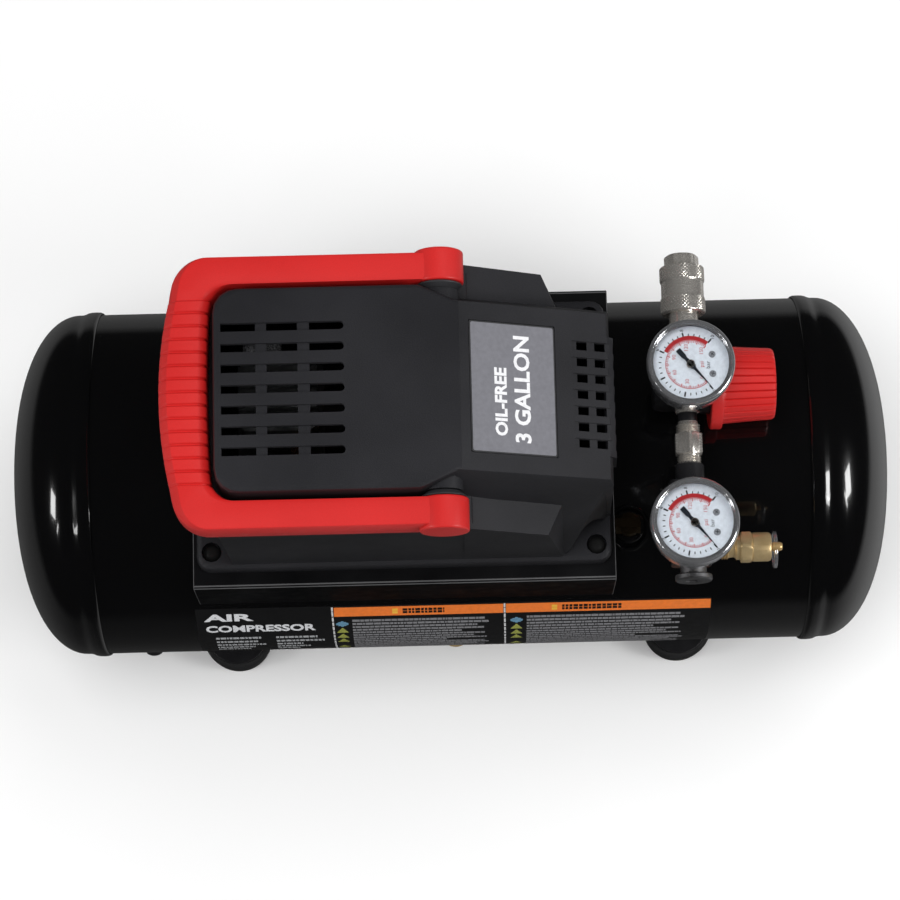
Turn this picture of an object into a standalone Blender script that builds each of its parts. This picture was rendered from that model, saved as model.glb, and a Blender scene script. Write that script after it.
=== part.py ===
"""Hotdog air compressor: a small horizontal tank with a direct-drive oil-free pump under a
plastic shroud, a folding carry handle, and a line of outlet fittings at one end.

Shapes are drawn in millimetres about the tank's axis: X along the tank (the outlet end at +X),
-Y to the front, +Z up. finish() lifts them by TANK_Z, so that the feet stand on Z = 0, and
scales them to metres.
"""

import math

import bmesh
import bpy
from mathutils import Matrix, Vector

MM = 0.001
GAP = 0.3

# Tank
TANK_Z = 122.0
TANK_R = 92.0
TANK_WALL = 1.8
SHELL_HALF = 190.0
HEAD_TIP = 234.8
HEAD_DEPTH = 36.0
HEAD_CROWN = 2.4
HEAD_LIP_R = 93.5
LEG_X = (-123.4, 127.0)
LEG_WIDTH = 34.0
FOOT_Y = 67.4
FOOT_R = 19.6
PAD_Z = -103.0

# Saddle plate under the pump
PLATE_X = (-133.0, 83.6)
PLATE_HALF = 77.0
PLATE_TOP = 95.0
PLATE_T = 2.5

# Shroud
TOP_Z = 208.0
TOP_HALF = 51.0
TOP_LEFT = -114.0
BREAK_X = 3.5
PANEL_HALF = 42.0
PANEL_END = (78.5, 175.0)
LEDGE_Z = 180.5
GRILLE_END = (82.0, 171.0)
GRILLE_HALF = 30.4
SKIN = 2.5
FLANGE_X = (-130.5, 81.5)
FLANGE_HALF = 68.7
FLANGE_TOP = 104.0
SCREW_XY = ((-122.8, -59.5), (73.6, -60.0), (73.6, 60.0), (-122.8, 59.5))
# Each screw stands in a scoop in the cover's wall, given here as radius and height.
SCOOP_R = 12.5
SCOOP_TALL = [(12.5, 118), (9.6, 178), (9.6, 190)]
SCOOP_LOW = [(12.5, 109), (8.5, 124), (2.0, 142)]
VENT_ROWS = 7
VENT_PITCH = 10.3
VENT_COLUMNS = ((-110.0, -93.2), (-87.8, -72.8), (-67.0, -50.2))
SIDE_VENT_PITCH = 8.2

# Carry handle
PIVOT_X = -3.5
PIVOT_Z = 194.0
ARM_IN = 53.6
ARM_OUT = 68.2
ARM_TOP = 204.0
ARM_LOW = 184.5
GRIP_X = (-141.0, -117.4)
BOSS_R = 12.2
BOSS_OUT = 70.0

# Pump and motor
SHAFT_Z = 138.0
CYL_X = -83.0
BORE_R = 15.0
THROW = 7.0
PISTON_TOP = 178.0
STATOR_X = (-48.0, 4.0)
STATOR_R = 38.0

# Outlet fittings
LINE_X = 121.5
LINE_Z = 116.0
GAUGE_TOP = 160.5
GAUGE_R = 21.9
GAUGE_UPPER = (121.3, 20.5)
GAUGE_LOWER = (120.2, -60.2)
KNOB_Y = 18.7
PORT_Y = -45.0
CHECK_X = 91.3
CHECK_Y = -47.0
DRAIN_X = 0.7
DRAIN_TILT = math.radians(50.0)
DRAIN_END = TANK_R + 16.4
PLUG_X = -166.5
PLUG_TILT = math.radians(33.0)

X_AXIS = Vector((1, 0, 0))
Y_AXIS = Vector((0, 1, 0))
Z_AXIS = Vector((0, 0, 1))


# ---------------------------------------------------------------- helpers


def material(name, colour, metallic=0.0, roughness=0.5, alpha=1.0):
    made = bpy.data.materials.get(name)
    if made:
        return made
    made = bpy.data.materials.new(name)
    made.use_nodes = True
    shader = made.node_tree.nodes["Principled BSDF"]
    shader.inputs["Base Color"].default_value = (*colour, 1.0)
    shader.inputs["Metallic"].default_value = metallic
    shader.inputs["Roughness"].default_value = roughness
    shader.inputs["Alpha"].default_value = alpha
    return made


def frame_at(origin, axis, turn=0.0):
    """A matrix whose Z runs along axis from origin, turned about it by an angle."""
    z = Vector(axis).normalized()
    helper = Vector((0, 0, 1)) if abs(z.z) < 0.9 else Vector((1, 0, 0))
    x = helper.cross(z).normalized()
    y = z.cross(x)
    turned = Matrix((x, y, z)).transposed().to_4x4() @ Matrix.Rotation(turn, 4, "Z")
    return Matrix.Translation(Vector(origin)) @ turned


def skin_rings(bm, rings, closed_path=False, cap=True):
    """Faces between successive rings of equal length, with caps on an open stack."""
    made = [[bm.verts.new(p) for p in ring] for ring in rings]
    pairs = list(zip(made, made[1:]))
    if closed_path:
        pairs.append((made[-1], made[0]))
    for low, high in pairs:
        for i in range(len(low)):
            j = (i + 1) % len(low)
            bm.faces.new((low[i], low[j], high[j], high[i]))
    if cap and not closed_path:
        bm.faces.new(list(reversed(made[0])))
        bm.faces.new(made[-1])
    return made


def lathe(profile, origin, axis, segments=24, closed=False, turn=0.0):
    """A turned solid. profile is (radius, height) pairs; radius 0 at an end meets the axis."""
    bm = bmesh.new()
    place = frame_at(origin, axis, turn)
    rings = []
    for radius, height in profile:
        if radius < 1e-6:
            rings.append([bm.verts.new(place @ Vector((0, 0, height)))])
            continue
        ring = []
        for i in range(segments):
            a = 2 * math.pi * i / segments
            ring.append(bm.verts.new(place @ Vector((radius * math.cos(a), radius * math.sin(a), height))))
        rings.append(ring)
    pairs = list(zip(rings, rings[1:]))
    if closed:
        pairs.append((rings[-1], rings[0]))
    for low, high in pairs:
        for i in range(segments):
            j = (i + 1) % segments
            if len(low) == 1:
                bm.faces.new((low[0], high[j], high[i]))
            elif len(high) == 1:
                bm.faces.new((low[i], low[j], high[0]))
            else:
                bm.faces.new((low[i], low[j], high[j], high[i]))
    if not closed:
        if len(rings[0]) > 1:
            bm.faces.new(list(reversed(rings[0])))
        if len(rings[-1]) > 1:
            bm.faces.new(rings[-1])
    return bm


def rod(radius, start, end, segments=24, turn=0.0):
    length = (Vector(end) - Vector(start)).length
    return lathe([(radius, 0), (radius, length)], start, Vector(end) - Vector(start), segments, turn=turn)


def hexagon(flats, start, end, turn=0.0):
    return rod(flats / math.sqrt(3), start, end, 6, turn)


def box(x, y, z):
    return extrude([(x[0], y[0]), (x[1], y[0]), (x[1], y[1]), (x[0], y[1])], z)


def extrude(outline, z):
    """A prism of an XY outline between two heights."""
    bm = bmesh.new()
    skin_rings(bm, [[Vector((px, py, h)) for px, py in outline] for h in z])
    return bm


def extrude_x(outline, x):
    """A prism of a YZ outline between two X positions."""
    bm = bmesh.new()
    skin_rings(bm, [[Vector((h, py, pz)) for py, pz in outline] for h in x])
    return bm


def extrude_y(outline, y):
    """A prism of an XZ outline between two Y positions."""
    bm = bmesh.new()
    skin_rings(bm, [[Vector((px, h, pz)) for px, pz in outline] for h in y])
    return bm


def loft_z(sections):
    """A solid through XY outlines of equal length, each given as (outline, height)."""
    bm = bmesh.new()
    skin_rings(bm, [[Vector((px, py, h)) for px, py in outline] for outline, h in sections])
    return bm


def rounded(corners, radii, steps=4):
    """The outline of a polygon with each corner rounded by its own radius."""
    out = []
    count = len(corners)
    for i, radius in enumerate(radii):
        here = Vector(corners[i])
        back = (Vector(corners[i - 1]) - here).normalized()
        ahead = (Vector(corners[(i + 1) % count]) - here).normalized()
        if radius <= 0:
            out.append(tuple(here))
            continue
        half = back.angle(ahead) / 2
        start = here + back * (radius / math.tan(half))
        centre = here + (back + ahead).normalized() * (radius / math.sin(half))
        first = start - centre
        sweep = math.pi - 2 * half
        sign = 1 if (ahead.x * back.y - ahead.y * back.x) > 0 else -1
        for k in range(steps + 1):
            a = sign * sweep * k / steps
            turned = Vector((first.x * math.cos(a) - first.y * math.sin(a),
                             first.x * math.sin(a) + first.y * math.cos(a)))
            out.append(tuple(centre + turned))
    return out


def round_path(points, radius, steps=4):
    """A 3-D polyline with its bends rounded."""
    points = [Vector(p) for p in points]
    out = [points[0]]
    for before, here, after in zip(points, points[1:], points[2:]):
        back = (before - here).normalized()
        ahead = (after - here).normalized()
        half = back.angle(ahead) / 2
        reach = radius / math.tan(half)
        start = here + back * reach
        end = here + ahead * reach
        centre = here + (back + ahead).normalized() * (radius / math.sin(half))
        for k in range(steps + 1):
            t = k / steps
            chord = start.lerp(end, t) - centre
            out.append(centre + chord.normalized() * radius)
    out.append(points[-1])
    return out


def tube(path, radius, segments=8, bore=0.0):
    """A round bar or pipe along a path."""
    bm = bmesh.new()
    path = [Vector(p) for p in path]
    side = None
    outer, inner = [], []
    for i, point in enumerate(path):
        ahead = path[min(i + 1, len(path) - 1)] - path[max(i - 1, 0)]
        ahead.normalize()
        if side is None:
            side = ahead.orthogonal().normalized()
        side = (side - ahead * side.dot(ahead)).normalized()
        up = ahead.cross(side)
        ring = [side * math.cos(2 * math.pi * k / segments) + up * math.sin(2 * math.pi * k / segments)
                for k in range(segments)]
        outer.append([point + r * radius for r in ring])
        inner.append([point + r * bore for r in ring])
    if bore > 0:
        skin_rings(bm, outer + inner[::-1], closed_path=True)
    else:
        skin_rings(bm, outer)
    return bm


def as_object(bm):
    bmesh.ops.recalc_face_normals(bm, faces=bm.faces)
    mesh = bpy.data.meshes.new("tool")
    bm.to_mesh(mesh)
    bm.free()
    made = bpy.data.objects.new("tool", mesh)
    bpy.context.collection.objects.link(made)
    return made


def combine(base, tools, operation):
    """Boolean of solids, done in millimetres."""
    host = as_object(base)
    helpers = [as_object(tool) for tool in tools]
    for helper in helpers:
        step = host.modifiers.new("step", "BOOLEAN")
        step.solver = "EXACT"
        step.operation = operation
        step.object = helper
    bpy.context.view_layer.update()
    graph = bpy.context.evaluated_depsgraph_get()
    out = bmesh.new()
    out.from_mesh(host.evaluated_get(graph).to_mesh())
    for made in [host] + helpers:
        mesh = made.data
        bpy.data.objects.remove(made)
        bpy.data.meshes.remove(mesh)
    bmesh.ops.remove_doubles(out, verts=out.verts, dist=0.0005)
    bmesh.ops.dissolve_degenerate(out, edges=out.edges, dist=0.0005)
    bmesh.ops.dissolve_limit(out, angle_limit=0.002, verts=out.verts, edges=out.edges)
    return out


def join(*solids):
    return combine(solids[0], solids[1:], "UNION")


def cut(base, *tools):
    return combine(base, tools, "DIFFERENCE")


def finish(name, bm, mat, origin=(0, 0, -TANK_Z), crease=38):
    """Makes the named object, with its origin at a point of the tank frame."""
    pivot = Vector(origin)
    for vert in bm.verts:
        vert.co = (vert.co - pivot) * MM
    bmesh.ops.recalc_face_normals(bm, faces=bm.faces)
    mesh = bpy.data.meshes.new(name)
    bm.to_mesh(mesh)
    bm.free()
    mesh.materials.append(mat)
    mesh.shade_smooth()
    mesh.set_sharp_from_angle(angle=math.radians(crease))
    made = bpy.data.objects.new(name, mesh)
    made.location = (pivot + Vector((0, 0, TANK_Z))) * MM
    bpy.context.collection.objects.link(made)
    return made


for old in list(bpy.data.objects):
    bpy.data.objects.remove(old, do_unlink=True)

GLOSS_BLACK = material("gloss_black_paint", (0.012, 0.012, 0.013), 0.0, 0.12)
SATIN_BLACK = material("satin_black_paint", (0.02, 0.02, 0.021), 0.0, 0.4)
CHARCOAL = material("charcoal_plastic", (0.035, 0.035, 0.038), 0.0, 0.5)
BLACK_PLASTIC = material("black_plastic", (0.02, 0.02, 0.02), 0.0, 0.4)
RED_PLASTIC = material("red_plastic", (0.72, 0.02, 0.015), 0.0, 0.4)
RUBBER = material("black_rubber", (0.018, 0.018, 0.018), 0.0, 0.8)
NICKEL = material("nickel_plate", (0.72, 0.7, 0.66), 1.0, 0.25)
CHROME = material("chrome_plate", (0.82, 0.82, 0.83), 1.0, 0.1)
BRASS = material("brass", (0.78, 0.58, 0.28), 1.0, 0.28)
ALUMINIUM = material("cast_aluminium", (0.68, 0.69, 0.7), 1.0, 0.42)
STEEL = material("bright_steel", (0.55, 0.55, 0.56), 1.0, 0.3)
LAMINATION = material("stator_steel", (0.3, 0.3, 0.31), 0.9, 0.45)
COPPER = material("copper", (0.8, 0.4, 0.22), 1.0, 0.3)
WINDING = material("enamelled_copper", (0.62, 0.25, 0.1), 0.6, 0.4)
WHITE = material("white_dial", (0.85, 0.85, 0.84), 0.0, 0.5)
GLASS = material("clear_lens", (0.95, 0.97, 0.98), 0.0, 0.03, 0.25)
LABEL_GREY = material("silver_grey_label", (0.3, 0.3, 0.31), 0.0, 0.45)
FOAM = material("filter_foam", (0.06, 0.06, 0.065), 0.0, 0.9)


# ---------------------------------------------------------------- tank


def tank_point(tilt, reach, x):
    """A point in front of and below the tank's axis, tilt measured down from level."""
    return Vector((x, -reach * math.cos(tilt), -reach * math.sin(tilt)))


def build_tank():
    wall = [(TANK_R, -SHELL_HALF), (TANK_R, SHELL_HALF),
            (TANK_R - TANK_WALL, SHELL_HALF), (TANK_R - TANK_WALL, -SHELL_HALF)]
    shell = lathe(wall, (0, 0, 0), X_AXIS, 40, closed=True)
    drain = (tank_point(DRAIN_TILT, 84, DRAIN_X), tank_point(DRAIN_TILT, TANK_R + 4.5, DRAIN_X))
    through = drain[1] - drain[0]
    bungs = [
        rod(11.0, (LINE_X, PORT_Y, 74), (LINE_X, PORT_Y, 90), 16),
        rod(8.6, (CHECK_X, CHECK_Y, 74), (CHECK_X, CHECK_Y, 83.8), 14),
        rod(9.0, *drain, 12),
    ]
    bores = [
        rod(7.3, (LINE_X, PORT_Y, 60), (LINE_X, PORT_Y, 95), 16),
        rod(4.8, (CHECK_X, CHECK_Y, 60), (CHECK_X, CHECK_Y, 95), 12),
        rod(4.8, drain[0] - through, drain[1] + through, 12),
    ]
    # The bungs are trimmed to the inside of the wall before the bores go through.
    core = rod(TANK_R - TANK_WALL, (-150, 0, 0), (150, 0, 0), 40)
    finish("tank_shell", cut(join(shell, *bungs), core, *bores), GLOSS_BLACK)


def head_profile():
    """The dome from its tip to its skirt, then the joggled lip that laps over the shell's end."""
    outer = []
    steps = 6
    for i in range(steps + 1):
        share = math.sin(0.5 * math.pi * i / steps)
        depth = HEAD_DEPTH * (1 - math.sqrt(max(0.0, 1 - share ** HEAD_CROWN)))
        outer.append((TANK_R * share, HEAD_TIP - depth))
    outer += [(TANK_R, 195.0), (HEAD_LIP_R, 193.0), (HEAD_LIP_R, 186.5)]
    inner = [(TANK_R + GAP, 186.5), (TANK_R + GAP, 192.0), (TANK_R - TANK_WALL, 194.0)]
    for i in range(steps, 0, -2):
        share = math.sin(0.5 * math.pi * i / steps)
        depth = HEAD_DEPTH * (1 - math.sqrt(max(0.0, 1 - share ** HEAD_CROWN)))
        inner.append(((TANK_R - 2.2) * share, HEAD_TIP - 2.2 - depth * 0.97))
    inner.append((0.0, HEAD_TIP - 2.2))
    return outer + inner


def build_heads():
    for name, side in (("tank_head_left", -1), ("tank_head_right", 1)):
        finish(name, lathe(head_profile(), (0, 0, 0), X_AXIS * side, 40), GLOSS_BLACK)


def leg_outline():
    """A pressed strap that hugs the underside of the tank and spreads to two level pads."""
    rest = (TANK_R + GAP) / math.cos(math.radians(6))
    half = []
    for deg in (0, 12, 24, 36):
        a = math.radians(deg)
        half.append((rest * math.sin(a), -rest * math.cos(a)))
    half += [(57.5, -76.5), (60.8, PAD_Z + 3.0), (FOOT_Y + 3.0, PAD_Z + 3.0)]
    under = [(FOOT_Y + 3.0, PAD_Z), (58.2, PAD_Z), (55.0, -80.0)]
    for deg in (36, 24, 12, 0):
        a = math.radians(deg)
        under.append(((rest + 3.0) * math.sin(a), -(rest + 3.0) * math.cos(a)))
    right = half + under
    left = [(-py, pz) for py, pz in right]
    top = [p for p in reversed(left[1:len(half)])]
    bottom = [p for p in reversed(left[len(half):-1])]
    return top + half + under + bottom


def build_legs():
    for side, leg_x in zip(("left", "right"), LEG_X):
        strap = extrude_x(leg_outline(), (leg_x - LEG_WIDTH / 2, leg_x + LEG_WIDTH / 2))
        ends = [rod(LEG_WIDTH / 2, (leg_x, sy * FOOT_Y, PAD_Z), (leg_x, sy * FOOT_Y, PAD_Z + 3.0), 24)
                for sy in (-1, 1)]
        square = [box((leg_x - 20, leg_x + 20), sorted((sy * FOOT_Y, sy * 90)), (PAD_Z - 1, PAD_Z + 4))
                  for sy in (-1, 1)]
        holes = [rod(3.4, (leg_x, sy * FOOT_Y, -120), (leg_x, sy * FOOT_Y, -90), 12) for sy in (-1, 1)]
        finish("leg_" + side, cut(join(cut(strap, *square), *ends), *holes), SATIN_BLACK)
        for place, sy in (("front", -1), ("rear", 1)):
            pad = [(0, -TANK_Z + 5.0), (7.0, -TANK_Z + 5.0), (7.5, -TANK_Z), (16.8, -TANK_Z),
                   (FOOT_R - 0.8, -TANK_Z + 3.0), (FOOT_R, PAD_Z - 4.0), (FOOT_R - 0.6, PAD_Z - 1.2),
                   (FOOT_R - 2.4, PAD_Z - GAP), (3.1, PAD_Z - GAP),
                   (3.1, PAD_Z + 3.4), (5.2, PAD_Z + 3.4), (2.6, PAD_Z + 7.5), (0, PAD_Z + 7.5)]
            foot = lathe(pad, (leg_x, sy * FOOT_Y, 0), Z_AXIS, 18)
            finish(f"foot_{place}_{side}", foot, RUBBER)


def build_tank_fittings():
    u = tank_point(DRAIN_TILT, 1, 0)
    base = tank_point(DRAIN_TILT, 0, DRAIN_X)
    body = lathe([(0, 86.0), (4.5, 86.0), (4.5, TANK_R + 4.8), (7.4, TANK_R + 4.8), (7.4, TANK_R + 10.5),
                  (4.6, TANK_R + 11.3), (4.6, DRAIN_END), (0, DRAIN_END)], base, u, 12)
    finish("drain_valve_body", body, BRASS)
    knob = []
    place = frame_at(base + u * (DRAIN_END + GAP), u)
    for height in (0.0, 8.2, 9.0):
        edge = 0.6 if height == 9.0 else 0.0
        ring = []
        for i in range(24):
            a = 2 * math.pi * i / 24
            radius = (6.6 if i % 2 else 5.9) - edge
            ring.append(place @ Vector((radius * math.cos(a), radius * math.sin(a), height)))
        knob.append(ring)
    bm = bmesh.new()
    skin_rings(bm, knob)
    finish("drain_valve_knob", bm, BRASS, origin=base + u * (DRAIN_END + GAP))
    v = tank_point(PLUG_TILT, 1, 0)
    seat = tank_point(PLUG_TILT, 0, PLUG_X)
    head = lathe([(0, TANK_R + GAP), (7.4, TANK_R + 0.9), (7.4, TANK_R + 3.0), (4.6, TANK_R + 3.8),
                  (4.6, TANK_R + 8.2), (3.2, TANK_R + 9.2), (0, TANK_R + 9.2)], seat, v, 16)
    finish("tank_port_plug", head, BLACK_PLASTIC)


def build_plate():
    """A folded saddle: a flat top, with two sides bent down onto the tank."""
    low = math.sqrt((TANK_R + GAP) ** 2 - PLATE_HALF ** 2) + 0.4
    outer, inner = PLATE_HALF, PLATE_HALF - PLATE_T
    low_in = math.sqrt((TANK_R + GAP) ** 2 - inner ** 2) + 0.4
    corners = [(-outer, low), (-outer, PLATE_TOP), (outer, PLATE_TOP), (outer, low),
               (inner, low_in), (inner, PLATE_TOP - PLATE_T), (-inner, PLATE_TOP - PLATE_T), (-inner, low_in)]
    section = rounded(corners, [0, 3.2, 3.2, 0, 0, 0.8, 0.8, 0], 3)
    saddle = extrude_x(section, PLATE_X)
    tools = [rod(4.2, (60, CHECK_Y, 80), (60, CHECK_Y, 100), 12)]
    tools += [rod(2.2, (sx, sy, 80), (sx, sy, 100), 8) for sx, sy in SCREW_XY]
    finish("mounting_plate", cut(saddle, *tools), SATIN_BLACK)


# ---------------------------------------------------------------- pump and motor


def build_pump():
    chamber = box((CYL_X - 22, CYL_X + 21), (-24, 24), (PLATE_TOP + GAP, 157.7))
    hollow = box((CYL_X - 30, CYL_X + 17), (-20, 20), (103, 154))
    bearing_wall = rod(20.0, (-62, 0, SHAFT_Z), (-50, 0, SHAFT_Z), 16)
    feet = box((CYL_X - 22, -50), (-34, 34), (PLATE_TOP + GAP, PLATE_TOP + 5))
    rib = box((-62, -52), (-14, 14), (PLATE_TOP + 4, SHAFT_Z - 10))
    tools = [
        hollow,
        rod(BORE_R + 0.3, (CYL_X, 0, 150), (CYL_X, 0, 160), 20),
        rod(11.3, (-59, 0, SHAFT_Z), (-40, 0, SHAFT_Z), 16),
        rod(6.0, (-70, 0, SHAFT_Z), (-40, 0, SHAFT_Z), 14),
    ]
    case = cut(join(chamber, bearing_wall, feet, rib), *tools)
    finish("crankcase", case, ALUMINIUM)

    fins = [(19.0, 158.0), (19.0, 160.5)]
    for k in range(3):
        z = 161.5 + 5.4 * k
        fins += [(21.5, z), (21.5, z + 1.8), (18.0, z + 2.0), (18.0, z + 5.2)]
    fins += [(19.0, 178.8), (BORE_R, 178.8), (BORE_R, 158.0)]
    finish("cylinder", lathe(fins, (CYL_X, 0, 0), Z_AXIS, 20, closed=True), ALUMINIUM)

    square = rounded([(CYL_X - 19, -19), (CYL_X + 19, -19), (CYL_X + 19, 19), (CYL_X - 19, 19)], [5] * 4, 3)
    ports = [rod(2.2, (CYL_X + sx * 6, sy * 6, 170), (CYL_X + sx * 6, sy * 6, 190), 10)
             for sx, sy in ((-1, 0), (1, 0))]
    finish("valve_plate", cut(extrude(square, (179.1, 181.1)), *ports), STEEL)

    head = extrude(square, (181.4, 199.0))
    slots = [box((CYL_X - 30, CYL_X + 30), (y - 1.3, y + 1.3), (191.5, 210))
             for y in (-14.5, -8.7, -2.9, 2.9, 8.7, 14.5)]
    rooms = [box((CYL_X - 14, CYL_X - 1.5), (-13, 13), (170, 188)),
             box((CYL_X + 1.5, CYL_X + 14), (-13, 13), (170, 188))]
    outlets = [rod(3.4, (CYL_X + 8, -30, 184.8), (CYL_X + 8, -10, 184.8), 12),
               rod(3.4, (CYL_X - 8, 10, 184.8), (CYL_X - 8, 30, 184.8), 12)]
    finish("cylinder_head", cut(head, *slots, *rooms, *outlets), ALUMINIUM)

    foam = lathe([(0, 11.0), (3.0, 11.0), (3.0, 19.3), (9.0, 19.3), (9.6, 20.2), (9.6, 31.0), (8.4, 32.6),
                  (0, 32.6)], (CYL_X - 8, 0, 184.8), Y_AXIS, 16)
    finish("intake_filter", foam, FOAM)

    # The connecting rod and the piston are one piece that rocks in the bore, with its crank pin.
    pin_z = SHAFT_Z + THROW
    big_end = rod(7.0, (CYL_X - 4, 0, pin_z), (CYL_X + 4, 0, pin_z), 16)
    shank = box((CYL_X - 3, CYL_X + 3), (-4.2, 4.2), (pin_z + 2, PISTON_TOP - 3))
    crown = lathe([(0, 172.6), (12.5, 172.6), (BORE_R - 0.25, 175.2), (BORE_R - 0.25, 176.4),
                   (13.2, 176.6), (13.2, PISTON_TOP), (0, PISTON_TOP)], (CYL_X, 0, 0), Z_AXIS, 20)
    pin = rod(4.0, (CYL_X + 3.8, 0, pin_z), (CYL_X + 6.6, 0, pin_z), 12)
    finish("piston_rod", join(shank, big_end, crown, pin), ALUMINIUM, origin=(CYL_X, 0, pin_z))

    web = []
    for i in range(24):
        a = 2 * math.pi * i / 24
        heavy = math.sin(a) < -0.1
        reach = 15.0 if heavy else 11.0 + 2.0 * max(0.0, math.sin(a))
        web.append((reach * math.cos(a), SHAFT_Z + reach * math.sin(a)))
    finish("crank_web", cut(extrude_x(web, (CYL_X + 7, CYL_X + 14)),
                            rod(5.4, (CYL_X, 0, SHAFT_Z), (-60, 0, SHAFT_Z), 12)),
           STEEL, origin=(CYL_X + 7, 0, SHAFT_Z))

    shaft = lathe([(0, CYL_X + 7.5), (5.0, CYL_X + 7.5), (5.0, 28.0), (3.0, 28.4), (3.0, 38.0), (0, 38.0)],
                  (0, 0, SHAFT_Z), X_AXIS, 12)
    finish("motor_shaft", shaft, STEEL, origin=(0, 0, SHAFT_Z))
    for name, at in (("bearing_front", -58.7), ("bearing_rear", 14.0)):
        race = lathe([(5.25, at), (11.0, at), (11.0, at + 6), (5.25, at + 6)],
                     (0, 0, SHAFT_Z), X_AXIS, 16, closed=True)
        finish(name, race, STEEL)
    rotor = lathe([(5.3, -44), (17, -44), (21, -43), (21, -1), (17, 0), (5.3, 0)],
                  (0, 0, SHAFT_Z), X_AXIS, 20, closed=True)
    finish("rotor", rotor, LAMINATION, origin=(0, 0, SHAFT_Z))
    stack = lathe([(30.0, STATOR_X[0]), (STATOR_R, STATOR_X[0]),
                   (STATOR_R, STATOR_X[1]), (30.0, STATOR_X[1])],
                  (0, 0, SHAFT_Z), X_AXIS, 28, closed=True)
    finish("stator", stack, LAMINATION)
    coil = lathe([(22.0, -46), (27.0, -48.5), (29.6, -46.5), (29.6, 3.0), (27.0, 5.0), (22.0, 2.5)],
                 (0, 0, SHAFT_Z), X_AXIS, 20, closed=True)
    finish("windings", coil, WINDING)

    spider = rod(36.0, (8.5, 0, SHAFT_Z), (12.0, 0, SHAFT_Z), 20)
    hub = rod(14.0, (8.5, 0, SHAFT_Z), (20.0, 0, SHAFT_Z), 14)
    stand = box((8.5, 12), (-30, 30), (PLATE_TOP + GAP, SHAFT_Z - 20))
    base = box((8.5, 20), (-34, 34), (PLATE_TOP + GAP, PLATE_TOP + 4))
    windows = []
    for k in range(4):
        a = math.pi / 4 + k * math.pi / 2
        windows.append(rod(8.5, (0, 24 * math.cos(a), SHAFT_Z + 24 * math.sin(a)),
                           (30, 24 * math.cos(a), SHAFT_Z + 24 * math.sin(a)), 10))
    tools = windows + [rod(11.3, (13.7, 0, SHAFT_Z), (30, 0, SHAFT_Z), 16),
                       rod(6.0, (0, 0, SHAFT_Z), (30, 0, SHAFT_Z), 12)]
    finish("motor_end_bracket", cut(join(spider, hub, stand, base), *tools), ALUMINIUM)

    centre = lathe([(3.4, 28.8), (9.0, 28.8), (9.0, 37.0), (3.4, 37.0)], (0, 0, SHAFT_Z), X_AXIS, 14,
                   closed=True)
    blades = []
    for k in range(7):
        a = 2 * math.pi * k / 7
        blade = box((-5.0, 5.0), (7.5, 31.0), (-1.0, 1.0))
        spin = Matrix.Translation((33.4, 0, SHAFT_Z)) @ Matrix.Rotation(a, 4, "X")
        spin = spin @ Matrix.Rotation(math.radians(38), 4, "Y")
        bmesh.ops.transform(blade, matrix=spin, verts=blade.verts)
        blades.append(blade)
    finish("cooling_fan", join(centre, *blades), BLACK_PLASTIC, origin=(33, 0, SHAFT_Z))

    run = round_path([(CYL_X + 8, -13.5, 184.8), (CYL_X + 8, -42, 184.8), (CYL_X + 12, -52, 150),
                      (CYL_X + 20, -52, 108), (48, CHECK_Y, 108), (60, CHECK_Y, 104), (60, CHECK_Y, 88.2),
                      (83.2, CHECK_Y, 88.2)], 5.0, 2)
    finish("discharge_tube", tube(run, 2.6, 6, 1.7), COPPER)
    valve = join(
        lathe([(0, 72), (4.5, 72), (4.5, 84.8), (6.0, 84.8), (6.0, 91.0), (5.0, 92.0), (0, 92.0)],
              (CHECK_X, CHECK_Y, 0), Z_AXIS, 12),
        hexagon(8.6, (84.4, CHECK_Y, 88.2), (97.0, CHECK_Y, 88.2)),
        lathe([(3.0, 78.4), (4.1, 78.4), (4.1, 84.8), (3.0, 84.8)], (0, CHECK_Y, 88.2), X_AXIS, 12,
              closed=True),
    )
    finish("check_valve", valve, BRASS)


def build_electrics():
    finish("pressure_switch",
           join(box((12, 45), (41, 61.5), (104, 140)), rod(6, (31, 50, 97), (31, 50, 106), 16)),
           BLACK_PLASTIC)
    rocker = [(-9.2, 2.9), (0.0, 0.2), (9.2, 0.3), (9.4, 3.4),
              (4.5, 2.8), (0.0, 2.6), (-4.5, 4.1), (-9.4, 6.4)]
    face = [(62.0 + out, 122 + up) for up, out in rocker]
    finish("power_switch", extrude_x(face, (24.6, 37.4)), RED_PLASTIC, origin=(31, 62.0, 122))
    gland = lathe([(4.2, 56.0), (6.4, 56.0), (6.4, 66.4), (9.0, 66.4), (9.0, 69.0), (6.0, 70.0), (5.2, 77.0),
                   (4.2, 77.0)], (-45, 0, 118), Y_AXIS, 16, closed=True)
    finish("cord_gland", gland, RUBBER)


# ---------------------------------------------------------------- shroud


def panel_z(x):
    """Height of the sloping label panel at a position along the tank."""
    return TOP_Z + (PANEL_END[1] - TOP_Z) * (x - BREAK_X) / (PANEL_END[0] - BREAK_X)


def hull(points):
    bm = bmesh.new()
    for p in points:
        bm.verts.new(p)
    bmesh.ops.convex_hull(bm, input=bm.verts)
    return bm


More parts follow.
